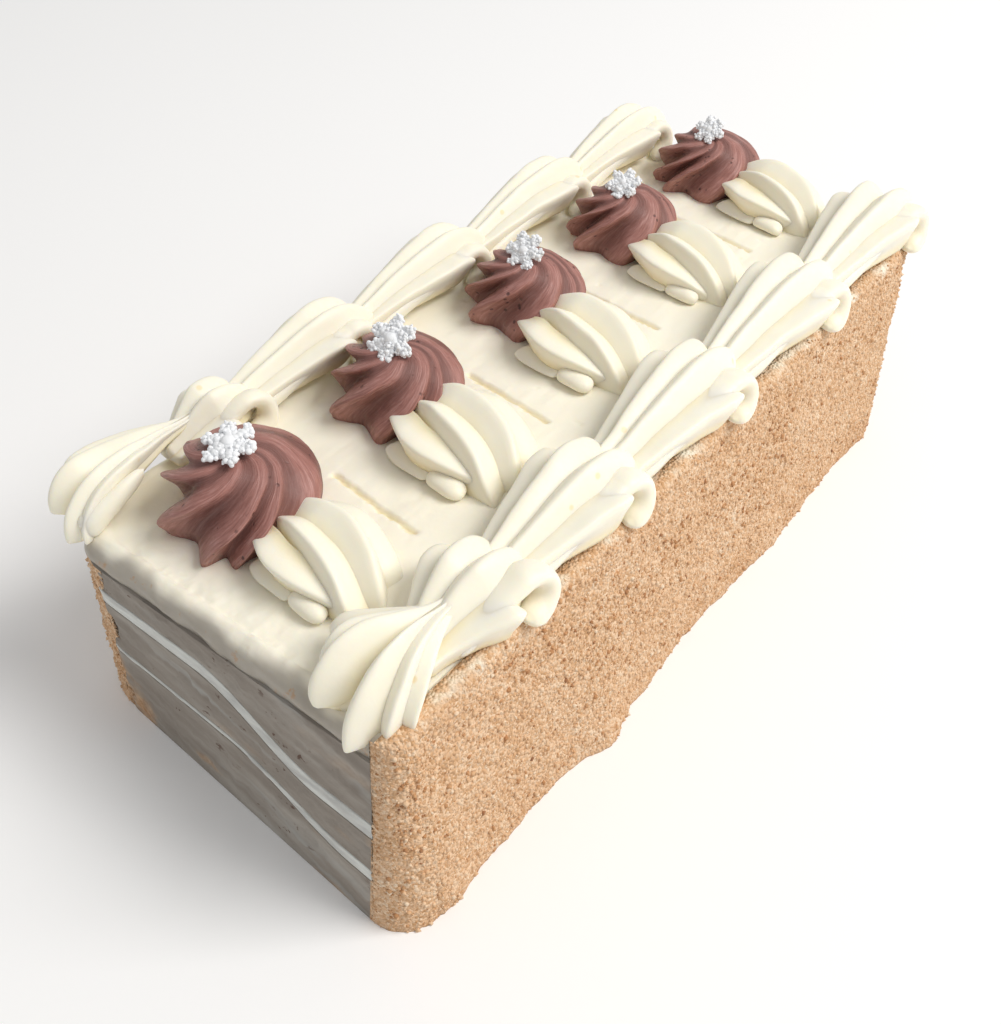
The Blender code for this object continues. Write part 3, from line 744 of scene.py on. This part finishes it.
def border_scroll(length, half_width, height, last_turn):
    """The outermost fold of a border shell, rolled up at its head.

    It climbs beside the lobes, then goes round a circle over the far end and back under
    itself while it drifts outwards and draws in.
    """
    radius = SCROLL_RADIUS * height
    centre = np.array([0.0, 0.82 * length, 0.33 * height])
    climb = np.linspace(0, 1, SCROLL_CLIMB, endpoint=False)[:, None]
    turn = np.radians(np.linspace(112, last_turn, SCROLL_ROUND))[:, None]
    drift = np.linspace(0.58, 0.80, SCROLL_ROUND)[:, None] * half_width
    shrink = radius * np.linspace(1.05, 0.84, SCROLL_ROUND)[:, None]
    circle = centre + np.concatenate([drift, shrink * np.cos(turn), shrink * np.sin(turn)], 1)
    start = np.array([0.42 * half_width, 0.24 * length, 0.08 * height])
    lead = start + (circle[0] - start) * climb
    lead[:, 2:] += 0.07 * height * np.sin(math.pi * climb)
    path = np.concatenate([lead, circle])
    wide = growing(half_width, np.linspace(0, 1, len(path)), 0.17, 0.26, 0.55)
    return ridge(path, np.zeros(len(path)), wide, 0.15 * height, 0.20 * height, 1.1, 0.15, 9.0)


# Each lobe of a centre shell: angle from the top, share of the length, first and last turn of its
# heading in degrees, lean, and width in degrees
CENTRE_LOBES = [(-70, 0.94, -34.0, 20.0, 0.0, 60.0), (-28, 1.0, -26.0, 32.0, 0.15, 60.0),
                (12, 1.0, 2.0, 14.0, 0.3, 50.0), (50, 0.88, 34.0, -40.0, 0.3, 42.0)]
CENTRE_FOLD = dict(depth=0.56, flare=0.04, blunt=0.16, crisp=0.5, taper=0.22)
CENTRE_WIDE, CENTRE_TALL = (0.28, 0.84, 0.6), (0.24, 0.70, 0.42)


def centre_shell(length, half_width, height, seed):
    """A shell beside a rosette: lobes out of it, each on its own bowed line, a thin leaf and a foot."""
    luck = np.random.default_rng(seed).uniform(-1, 1, 12)
    shapes = []
    for number, (angle, reach, spread, fan, lean, step) in enumerate(CENTRE_LOBES):
        path, heading = piped_path((0.0, -0.04 * length, 0.02 * height), 1.02 * reach * length,
                                   spread + 4 * luck[0], fan + 5 * luck[number + 3],
                                   26.0, -62.0 + 5 * luck[2], 0.40)
        share = np.linspace(0, 1, len(path))
        wide, tall = growing(half_width, share, *CENTRE_WIDE), growing(height, share, *CENTRE_TALL)
        shapes.append(lobe(path, heading, wide, tall, angle, step, lean=lean, **CENTRE_FOLD))
    path, heading = piped_path((0.60 * half_width, 0.16 * length, 0.4), 0.42 * length, 30.0, 0.0, 0.0, 0.0)
    leaf = ridge(path, heading, 0.30 * half_width, 1.5, 0.4, 0.9, -0.2, 14.0)
    path, heading = piped_path((0.82 * half_width, 0.56 * length, 0.6), 0.30 * length,
                               10.0, -20.0, 8.0, -30.0)
    foot = ridge(path, heading, 0.22 * half_width, 0.17 * height, 0.1 * height, 0.8, 0.0, 4.0)
    return shapes + [leaf, foot]


CORNER_FOLD = dict(depth=0.85, flare=0.06, blunt=0.14, lean=0.15, crisp=0.2)
CORNER_WIDE, CORNER_TALL = (0.16, 1.02, 0.8), (0.22, 0.52, 0.6)


def corner_shell(length, half_width, height, lobes):
    """A shell at a corner: a raised tail, and lobes that fan out and hang over the edge.

    Each lobe follows its own middle line, which bends down over the edge.
    """
    shapes = []
    for angle, spread, reach, bend, step in lobes:
        path, heading = piped_path((-0.10 * half_width, 0.06 * length, 0.56 * height), reach * length,
                                   0.0, 0.0, -8.0, -84.0, bend)
        share = np.linspace(0, 1, len(path))
        wide = growing(spread * half_width, share, *CORNER_WIDE)
        tall = growing(height, share, *CORNER_TALL)
        shapes.append(lobe(path, heading, wide, tall, angle, step, **CORNER_FOLD))
    return shapes


def corner_loop(length, half_width, height):
    """The fold of the left corner shell that runs forward, turns back in a loop and rises again.

    Its plan goes across by a cosine and along by a sine of the same half turn, and its
    height dips by that sine.
    """
    turn = np.linspace(0, 1, 60)[:, None]
    bow = math.pi * turn
    path = np.concatenate([-half_width * (0.10 + 0.23 * (1 - np.cos(bow))),
                           length * (0.42 + 0.46 * np.sin(bow * 0.93) ** 0.8),
                           height * (0.62 - 0.50 * np.sin(bow) + 0.05 * turn)], 1)
    heading = np.radians(-200.0) * ease(turn[:, 0])
    return ridge(path, heading, 0.17 * half_width, 0.2 * height, 0.25 * height)


def make_border(side, run, border, first_seed, cream):
    """A row of shells down one edge, the first one turned round at the corner."""
    for number, (tail, head) in enumerate(run, 1):
        measures = (abs(head - tail), border["half_width"], border["height"])
        seed, heading = first_seed + number, 0.0
        if head > tail:
            shapes = border_shell(*measures, seed)
        else:
            heading = 180.0
            shapes = corner_shell(*measures, border["corner"])
            if border["loop"]:
                shapes.append(corner_loop(*measures))
        name = "%s_shell_%d" % (side, number)
        parts = [placed_part(shape, seed, border["x"], tail, heading) for shape in shapes]
        add_piece("piped_" + name, parts, cream, [name])


def make_centre_shells(first_seed, cream):
    """The shells that reach from each rosette towards the right border."""
    for number, (x, y, length, half_width, height, heading) in enumerate(CENTRE_SHELLS, 1):
        seed = first_seed + number
        name = "centre_shell_%d" % number
        parts = [placed_part(shape, seed, x, y, heading)
                 for shape in centre_shell(length, half_width, height, seed)]
        add_piece("piped_" + name, parts, cream, [name])


# Rosettes

SWIRL_FINS, FIN_POINTS, SWIRL_LEVELS = 8, 22, 44
FIN_SOFTNESS, FIN_SIDE, SWIRL_TURN = 0.11, math.radians(245), math.radians(112)


def fin_height(turns):
    """Height of a star nozzle's outline: 1 on a fin, and falling steeply to 0 half way to the next."""
    away = np.abs((turns + 0.5) % 1.0 - 0.5)
    away = ((np.sqrt(away ** 2 + FIN_SOFTNESS ** 2) - FIN_SOFTNESS)
            / (math.sqrt(0.25 + FIN_SOFTNESS ** 2) - FIN_SOFTNESS))
    return (1 - away) ** 1.8


def rosette_part(x, y, radius, height, seed):
    """A swirl with sharp fins that wind in from the rim as they climb to the peak.

    Levels of the dome are rings, each turned further than the last.  A ring is drawn in
    where the fin height falls: deep at the near left, where the fins stand out as
    fingers, and shallow round the back, where the swirl ends in one broad band.
    """
    turns = np.arange(SWIRL_FINS * FIN_POINTS)[None, :] / FIN_POINTS
    level = np.linspace(0, 1, SWIRL_LEVELS)[:, None]
    bend = level * math.pi / 2
    reach = 0.95 * np.cos(bend) ** 0.7 + 0.05 * (1 - level) - 0.10 * hump(level, 0.0, 0.07)
    base_angle = 2 * math.pi * turns / SWIRL_FINS
    wander = 0.16 * np.sin(base_angle * 2 + seed) + 0.10 * np.sin(base_angle * 3 + 2 * seed)
    angle = base_angle + wander + SWIRL_TURN * level ** 1.3 + seed * 0.9
    star = fin_height(turns)
    near_left = 0.5 + 0.5 * np.cos(angle - FIN_SIDE)
    depth = (0.05 + 0.36 * near_left ** 1.2) * (1 - 0.30 * level) * (0.56 + 0.60 * hump(level, 0.36, 0.26))
    shelf = 0.12 * hump(level, 0.32, 0.18) * (1 - near_left)
    fan = 0.03 * near_left * star * (1 - level) ** 2
    draw = reach * (1 - depth * (1 - star)) + shelf + fan
    rise = np.sin(bend) ** 0.85 - 0.10 * depth * (1 - star) * np.sin(bend)
    points = np.stack([x + radius * draw * np.cos(angle), y + radius * draw * np.sin(angle),
                       HEIGHT - SINK + (height + SINK) * rise], -1)
    wave = np.stack([rough(points + shift, 5.0, 3, seed) for shift in (0.0, 40.0, 80.0)], -1)
    points = points + 0.25 * wave
    flow = np.stack(np.broadcast_arrays(level * radius * 1.5, turns * 6.0, seed * 7.0), -1)
    # The shade passed here is painted shade of the hollows: 0 on each fin, 1 between the fins.
    return closed_tube(points[:-1], (1 - star + 0 * level)[:-1], flow[:-1])


def make_rosettes(chocolate):
    """One swirl of chocolate cream for each portion."""
    for number, (x, y, radius, height) in enumerate(ROSETTES, 1):
        add_piece("swirl_%d" % number, [rosette_part(x, y, radius, height, number)], chocolate,
                  ["rosette_%d" % number])


# Sugar flakes

BEAD_POINTS, BEAD_LEVELS = 10, 7


def beads(centres, radii):
    """Small balls: rings of latitude between two poles, copied to every centre."""
    turn = np.linspace(0, 2 * math.pi, BEAD_POINTS, endpoint=False)
    lift = np.linspace(-math.pi / 2, math.pi / 2, BEAD_LEVELS)[1:-1]
    ball = np.stack([np.cos(lift)[:, None] * np.cos(turn), np.cos(lift)[:, None] * np.sin(turn),
                     np.sin(lift)[:, None] * np.ones(BEAD_POINTS)], -1)
    return [closed_tube(np.asarray(centre) + ball * size) for centre, size in zip(centres, radii)]


FLAKE_RADIUS, FLAKE_THICKNESS = 5.7, 2.4
# Turn, tilt in degrees, size and number of grains of each flake
FLAKES = [(0.35, 8.0, 1.0, 160), (0.8, 34.0, 1.0, 420), (1.2, 40.0, 0.85, 380), (1.6, 30.0, 0.78, 340),
          (2.0, 34.0, 0.74, 300)]
# Distance out along an arm, sideways, and size of each bead of a flake
FLAKE_ARM = [(0.26, 0.0, 0.20), (0.42, 0.0, 0.18), (0.36, 0.20, 0.15), (0.58, 0.0, 0.17),
             (0.60, 0.17, 0.12), (0.60, -0.17, 0.12), (0.74, 0.0, 0.14), (0.84, 0.14, 0.12),
             (0.84, -0.14, 0.12), (0.91, 0.0, 0.12)]


def flake_beads(turn, tilt, reach, grain_count, luck):
    """Centres and sizes of a flake's beads: a middle, six arms, and grains on the arms, all tilted."""
    along, across, size = (np.array(column) for column in zip(*FLAKE_ARM))
    turn = (np.arange(6) * math.pi / 3 + turn)[:, None]
    arms = np.stack([(along * np.cos(turn) - across * np.sin(turn)).reshape(-1),
                     (along * np.sin(turn) + across * np.cos(turn)).reshape(-1),
                     np.zeros(6 * len(FLAKE_ARM))], -1) * reach
    sizes = np.tile(size, 6) * reach
    on = luck.integers(0, len(arms), grain_count)
    away = unit(luck.normal(size=(len(on), 3)))
    grains = arms[on] + away * (sizes[on] * luck.uniform(0.85, 1.25, len(on)))[:, None]
    centres = np.concatenate([np.zeros((1, 3)), arms + luck.normal(0, 0.10, arms.shape), grains])
    sizes = np.concatenate([[0.32 * reach], sizes * luck.uniform(0.9, 1.15, len(sizes)),
                            luck.uniform(0.24, 0.55, len(on))])
    cos, sin = math.cos(math.radians(tilt)), math.sin(math.radians(tilt))
    return np.stack([centres[:, 0], centres[:, 1] * cos - centres[:, 2] * sin,
                     centres[:, 1] * sin + centres[:, 2] * cos], -1), sizes


def make_flakes(white):
    """A flake of sugar on the peak of each rosette."""
    for number, ((x, y, _, height), (turn, tilt, size, grain_count)) in enumerate(zip(ROSETTES, FLAKES), 1):
        centres, sizes = flake_beads(turn, tilt, FLAKE_RADIUS * size, grain_count,
                                     np.random.default_rng(90 + number))
        middle = np.array([x, y, PIPING_BASE + height + GAP + FLAKE_THICKNESS / 2])
        add_piece("flake_%d" % number, beads(centres + middle, sizes), white,
                  ["snowflake_%d" % number])


# The cap

CAP_ROWS, CAP_COLUMNS, CAP_DROP = 420, 160, 0.35
CAP_MIDDLE = (LEFT_EDGE + CORE_RIGHT) / 2
# How far from each cut end the grey of crumb smear and painted shade reaches
SMEAR_AND_SHADE_REACH = 9.0


def cap_sheet(x, z, inset):
    """Rows and columns of the cap's plan at height z, drawn in by the inset."""
    across = x + inset * np.clip((CAP_MIDDLE - x) / (CAP_MIDDLE - LEFT_EDGE), 0, 1)
    draw = corner_draw(x, LEFT_EDGE, CORE_RIGHT, CAP_CORNER_LEFT, 0.0) + inset
    near, far = near_face(x, z) + draw, far_face(x, z) - draw
    y = near + (far - near) * np.linspace(0, 1, CAP_ROWS + 1)[:, None]
    return np.stack([np.broadcast_to(across, y.shape), y, np.full(y.shape, z)], -1)


def cap_relief(top, line):
    """Height of the cap's top: knife strokes and chips at the near edge, less pits and portion lines."""
    strokes = (0.30 * rough(top * np.array([1, 0.4, 1]), 14.0, 3, 5)
               + 0.10 * rough(top * np.array([1, 0.3, 1]), 2.6, 2, 6))
    near_edge = hump(np.clip(top[..., 1] - NEAR_EDGE - EDGE_ROUND, 0, None), 0.0, 5.0)
    chips = near_edge * (0.5 * rough(top, 3.5, 3, 7) - 0.25)
    pits = 0.35 * ease(noise(top, 2.2, 31) * 5 - 3.6)
    return strokes + chips - pits - SCORE_DEPTH * line - CAP_DROP


def worn_rim(points):
    """A loop of the cap's rim, worn in and dragged by the knife where no coat covers it, and its share of
    grey: crumb smear and painted shade near the cut ends.
    """
    outward = unit((points - np.array([CAP_MIDDLE, 0, 0])) * np.array([0.3, 1, 0]))
    bare = points[:, 0] <= CORE_RIGHT - 0.5
    drag = points * np.array([0.35, 1.0, 1.0]) + np.array([0.0, 0.0, 0.16]) * points[:, :1]
    points = points - outward * np.where(bare, 0.45 * (1 + rough(drag, 3.2, 3, 9)), 0.0)[:, None]
    points[:, 2] += np.where(bare, 0.4 * rough(points, 4.5, 3, 33), 0.0)
    down = (HEIGHT - points[:, 2]) / EDGE_ROUND
    from_cut = np.minimum(points[:, 1] - near_face(points[:, 0], points[:, 2]),
                          far_face(points[:, 0], points[:, 2]) - points[:, 1])
    # The grey share grows down the side and close to each cut end: crumb smear and painted shade together.
    smear = ease(down * 1.7 + 0.10 + 0.5 * noise(points, 5.0, 34))
    return points, smear * (1 - ease(from_cut / SMEAR_AND_SHADE_REACH))


def make_cap(cream):
    """The cream cap.

    Its top is a grid of rows and columns, given its relief; loops of its rim go down
    round the edge, and a fan closes the underside.
    """
    x = corner_columns(LEFT_EDGE, CORE_RIGHT, CAP_CORNER_LEFT, 0.0, CAP_COLUMNS)
    index = np.arange((CAP_ROWS + 1) * len(x)).reshape(CAP_ROWS + 1, len(x))
    rim = np.concatenate([index[0, :-1], index[:-1, -1], index[-1, :0:-1], index[:0:-1, 0]])
    top = cap_sheet(x, HEIGHT, EDGE_ROUND)
    line = score_lines(top)
    top[..., 2] += cap_relief(top, line)
    # The portion lines' depth is also each point's shade, which the cap material paints as yellower painted
    # shade in the grooves.
    points, shades, smear_and_shade_shares = [top.reshape(-1, 3)], [line.reshape(-1)], [np.zeros(line.size)]
    quads = [grid_quads(CAP_ROWS + 1, len(x))]
    below, start = rim, len(points[0])
    for z, inset in [(HEIGHT - EDGE_ROUND * (1 - math.sin(turn)), EDGE_ROUND * (1 - math.cos(turn)))
                     for turn in np.radians([78, 66, 54, 42, 30, 18, 6, 0])
                     ] + [(HEIGHT - EDGE_ROUND - 0.8, 0.0), (CAP_LOW, 0.0), (CAP_LOW, 0.8)]:
        loop, smear = worn_rim(cap_sheet(x, z, inset).reshape(-1, 3)[rim])
        here = start + np.arange(len(rim))
        quads.append(np.stack([below, here, np.roll(here, -1), np.roll(below, -1)], -1))
        points.append(loop)
        shades.append(np.zeros(len(rim)))
        smear_and_shade_shares.append(smear)
        below = here
        start += len(rim)
    points.append(np.array([[CAP_MIDDLE, 0.0, CAP_LOW]]))
    # The grey share, crumb smear and painted shade, goes to the material as the flow attribute.
    smear = np.append(np.concatenate(smear_and_shade_shares), 0.0)
    fan = np.stack([below, np.full(len(rim), start), np.roll(below, -1)], -1)
    part = Part(np.concatenate(points), np.concatenate(quads), fan, np.append(np.concatenate(shades), 0.0),
                np.stack([smear, smear, smear], -1))
    add_piece("spread_cap", [part], cream, ["top_cream"])


def score_lines(points):
    """1 in the middle of each portion line and 0 beside it, with a ragged lower edge."""
    depth = np.zeros(points.shape[:-1])
    for number in range(4):
        middle = SCORE_FIRST_Y + number * SCORE_STEP
        along = ((points[..., 0] - SCORE_X) * math.cos(SCORE_TURN)
                 + (points[..., 1] - middle) * math.sin(SCORE_TURN))
        across = (-(points[..., 0] - SCORE_X) * math.sin(SCORE_TURN)
                  + (points[..., 1] - middle) * math.cos(SCORE_TURN))
        across = across + 0.25 * noise(points, 1.6, 30)
        ragged = np.where(across < 0, 0.35 * np.abs(noise(points, 1.2, 35)), 0.0) * SCORE_WIDTH
        inside = 1 - ease((np.abs(across) - 0.06 * SCORE_WIDTH - ragged) / (0.42 * SCORE_WIDTH))
        inside = inside * (1 - ease((np.abs(along) - SCORE_LENGTH / 2 + 1) / 1.5))
        depth = np.maximum(depth, inside)
    return depth


# The crumb coats

COAT_COLUMNS, COAT_ROWS = 330, 84


def coat_line(side, z, outside):
    """Plan line of a coat at height z, from the near cut round its corner to the far one."""
    down = 1 - z / HEIGHT
    if side > 0:
        core, corner_in, clear = CORE_RIGHT - GAP, 0.0, 0.0
        wall = RIGHT_EDGE + FOOT_RIGHT * down
        corner = COAT_CORNER_TOP + (COAT_CORNER_FOOT - COAT_CORNER_TOP) * down
    else:
        core, corner_in, clear = CORE_LEFT + 2 * GAP, CORE_CORNER - GAP, -GAP
        wall = LEFT_EDGE - FOOT_LEFT * down
        corner = CAP_CORNER_LEFT + 1.5 * down
    edge, corner = (wall, corner) if outside else (core, corner_in)
    turn = np.linspace(0, math.pi / 2, 25)[::-1]
    x_near = edge - side * corner * (1 - np.cos(turn))
    y_near = near_face(x_near, z) - clear + corner * (1 - np.sin(turn))
    y_far = far_face(x_near, z) + clear - corner * (1 - np.sin(turn))
    along = np.linspace(0, 1, COAT_COLUMNS)[1:-1]
    y_wall = y_near[-1] + (y_far[-1] - y_near[-1]) * along
    x_wall = np.full(len(along), edge)
    if outside:
        x_wall = x_wall + side * COAT_WAVE * np.sin(along * 17.0 + 1.0 + side) * (0.4 + 0.6 * down)
        if side > 0:
            x_wall = x_wall + LUMP_SIZE * down ** 4 * hump(y_wall, LUMP_Y, LUMP_SPREAD)
    x = np.concatenate([x_near, x_wall, x_near[::-1]])
    y = np.concatenate([y_near, y_wall, y_far[::-1]])
    return np.stack([x, y, np.full(len(x), z)], -1)


def coat_surface(side):
    """Points of the outside of a coat: plan lines at closely spaced heights, with lumps."""
    top = COAT_TOP_RIGHT if side > 0 else COAT_TOP_LEFT
    heights = np.append(np.linspace(0.0, top - COAT_ROUND, COAT_ROWS), [top - 0.3 * COAT_ROUND, top])
    outer = np.stack([coat_line(side, z, True) for z in heights])
    outer[-2:, :, 0] -= side * COAT_ROUND * np.array([0.3, 1.0])[:, None]
    outward = np.zeros_like(outer)
    outward[..., 0] = side
    lump = 0.35 * rough(outer, 6.0, 3, 17) + 0.22 * noise(outer, 1.1, 21) - 0.30
    return outer + outward * lump[..., None], heights


def make_coat(side, name, base, grain):
    """A bed of crumbs down one long side, and loose crumbs pressed into it."""
    outer, heights = coat_surface(side)
    inner = np.stack([coat_line(side, z, False) for z in heights[[-1, 0]]])
    section = np.concatenate([outer, inner]).transpose(1, 0, 2)
    add_piece("crumb_bed_" + name, [closed_tube(section)], base, ["crumb_coat_" + name])
    add_piece("crumbs_" + name, [scatter(outer, CRUMB_COUNT, 70 + side)], grain)


CRUMB_COUNT = 11000
CRUMB_CORNERS = np.array([(1, 0, 0), (-1, 0, 0), (0, 1, 0), (0, -1, 0), (0, 0, 1), (0, 0, -1)], float)
CRUMB_FACES = np.array([(0, 2, 4), (2, 1, 4), (1, 3, 4), (3, 0, 4), (2, 0, 5), (1, 2, 5), (3, 1, 5),
                        (0, 3, 5)])


def scatter(surface, count, seed):
    """Eight-sided crumbs at random places of a grid, each with its own size, turn and tone."""
    luck = np.random.default_rng(seed)
    rows, columns = surface.shape[:2]
    row = luck.uniform(0, rows - 1.001, count)
    column = luck.uniform(0, columns - 1.001, count)
    low_row, low_column = row.astype(int), column.astype(int)
    up, over = (row - low_row)[:, None], (column - low_column)[:, None]
    corner = surface[low_row, low_column]
    centre = (corner + (surface[low_row + 1, low_column] - corner) * up
              + (surface[low_row, low_column + 1] - corner) * over)
    turn = np.linalg.qr(luck.normal(size=(count, 3, 3)))[0]
    size = 0.22 + 0.55 * luck.uniform(0, 1, count) ** 3
    stretch = luck.uniform(0.6, 1.25, (count, 3))
    points = np.einsum("nij,kj->nki", turn, CRUMB_CORNERS) * (size[:, None] * stretch)[:, None, :]
    points = points + centre[:, None, :]
    points[..., 2] = np.clip(points[..., 2], 0.02, surface[..., 2].max())
    tone = np.clip(luck.normal(0.60, 0.20, count), 0, 1)
    zone = hump(centre[:, 2], 33.0, 13.0) * hump(np.clip(centre[:, 1] + 20.0, 0, None), 0.0, 60.0)
    toasted = ease(0.5 + 0.6 * rough(centre, 16.0, 3, 41)) * (0.16 + 0.34 * zone)
    tone = np.where(luck.uniform(0, 1, count) < toasted, tone * 0.22, tone)
    triangles = (CRUMB_FACES[None] + 6 * np.arange(count)[:, None, None]).reshape(-1, 3)
    return Part(points.reshape(-1, 3), [], triangles, np.repeat(tone, 6))


# The scene round the cake

def look_from(thing, right, back, place):
    """Links an object at its place, looking along minus back, with its own right."""
    bpy.context.scene.collection.objects.link(thing)
    axes = np.stack([right, np.cross(back, right), back], 1)
    thing.matrix_world = Matrix([(*axis, spot) for axis, spot in zip(axes, place)] + [(0, 0, 0, 1)])


def add_camera():
    """A camera at its place, looking along its turn and rise."""
    back = np.array([math.sin(CAMERA_TURN) * math.cos(CAMERA_RISE),
                     -math.cos(CAMERA_TURN) * math.cos(CAMERA_RISE), math.sin(CAMERA_RISE)])
    data = bpy.data.cameras.new("camera")
    data.lens = CAMERA_LENS
    data.sensor_width = 36.0
    data.clip_start = 0.01
    camera = bpy.data.objects.new("camera", data)
    right = np.array([math.cos(CAMERA_TURN), math.sin(CAMERA_TURN), 0.0])
    look_from(camera, right, back, (np.array(CAMERA_PLACE) + SHIFT) * MM)
    bpy.context.scene.camera = camera


KEY_PLACE, KEY_SIZE, KEY_POWER, KEY_COLOUR = (0.90, 0.52, 1.24), 0.82, 20.0, (1.0, 0.98, 0.95)
SKY_STRENGTH, FLOOR_RADIUS, FLOOR_CORNERS = 0.48, 3.0, 96


def add_key_light():
    """A square soft light above and to the right, that faces the middle of the cake."""
    data = bpy.data.lights.new("key", "AREA")
    data.size = KEY_SIZE
    data.energy = KEY_POWER
    data.color = KEY_COLOUR
    back = unit(np.array(KEY_PLACE))
    right = unit(np.cross((0.0, 0.0, 1.0), back))
    look_from(bpy.data.objects.new("key", data), right, back, KEY_PLACE)


def add_stage():
    """A pale round floor, and a bright even sky."""
    world = bpy.data.worlds.new("studio")
    world.use_nodes = True
    background = world.node_tree.nodes["Background"].inputs
    background["Color"].default_value = (1.0, 1.0, 1.0, 1.0)
    background["Strength"].default_value = SKY_STRENGTH
    bpy.context.scene.world = world
    bpy.context.scene.view_settings.view_transform = "Standard"
    turn = np.linspace(0, 2 * math.pi, FLOOR_CORNERS, endpoint=False)
    rim = np.stack([FLOOR_RADIUS * np.cos(turn), FLOOR_RADIUS * np.sin(turn), 0 * turn], -1)
    mesh = bpy.data.meshes.new("floor")
    mesh.from_pydata([tuple(point) for point in rim], [], [tuple(range(FLOOR_CORNERS))])
    mesh.materials.append(floor_paint())
    floor = bpy.data.objects.new("floor", mesh)
    bpy.context.scene.collection.objects.link(floor)


def crumb_relief(points):
    """Depth of the sponge's cut: open crumb, with soft dents here and there."""
    return 0.35 * rough(points, 3.0, 3, 3) + 0.15 + 0.35 * ease(noise(points, 5.0, 8) * 2 - 0.6)


def filling_relief(points):
    """Depth of a filling's cut."""
    return 0.25 * rough(points, 4.0, 2, 4) - 0.05


def bare_patches(points):
    """Faint bare patches of crumb, longer along X."""
    return 0.3 * ease(rough(points * np.array([0.6, 1, 1.6]), 9.0, 3, 11) * 1.4 - 0.7)


def bare_foot(points):
    """A bare patch of crumb at the left foot, and fainter ones elsewhere."""
    from_corner = (points[..., 0] - CORE_LEFT) / 14.0 + points[..., 2] / 30.0
    patch = 0.45 * ease(rough(points * np.array([0.5, 1, 1.6]), 7.0, 3, 12) * 1.5 - 0.8)
    return np.maximum(ease(1.3 - from_corner + 0.5 * rough(points, 5.0, 3, 13)), patch)


def make_block():
    """The three sponges and the two fillings between them."""
    sponge, filling = sponge_crumb(), filling_cream()

    def add_sponge(name, low, high, bare):
        make_layer(name, low, high, sponge, bare, crumb_relief)

    def add_filling(name, layer):
        make_layer(name, lambda x: layer_height(x, layer), lambda x: layer_top(x, layer),
                   filling, lambda points: 0 * points[..., 0], filling_relief)

    add_sponge("sponge_bottom", lambda x: 0 * x, lambda x: layer_height(x, FILLING_LOW) - GAP, bare_foot)
    add_filling("filling_lower", FILLING_LOW)
    add_sponge("sponge_middle", lambda x: layer_top(x, FILLING_LOW) + GAP,
               lambda x: layer_height(x, FILLING_HIGH) - GAP, bare_patches)
    add_filling("filling_upper", FILLING_HIGH)
    add_sponge("sponge_top", lambda x: layer_top(x, FILLING_HIGH) + GAP,
               lambda x: 0 * x + CAP_LOW - TOP_CLEARANCE, bare_patches)


add_camera()
add_key_light()
add_stage()
piped = piped_cream()
make_block()
make_cap(cap_cream())
coat_base, coat_grain = crumb_base(), crumb_grain()
make_coat(1, "right", coat_base, coat_grain)
make_coat(-1, "left", coat_base, coat_grain)
make_border("left", LEFT_RUN, LEFT_BORDER, 20, piped)
make_border("right", RIGHT_RUN, RIGHT_BORDER, 40, piped)
make_centre_shells(60, piped)
make_rosettes(chocolate_cream())
make_flakes(sugar())
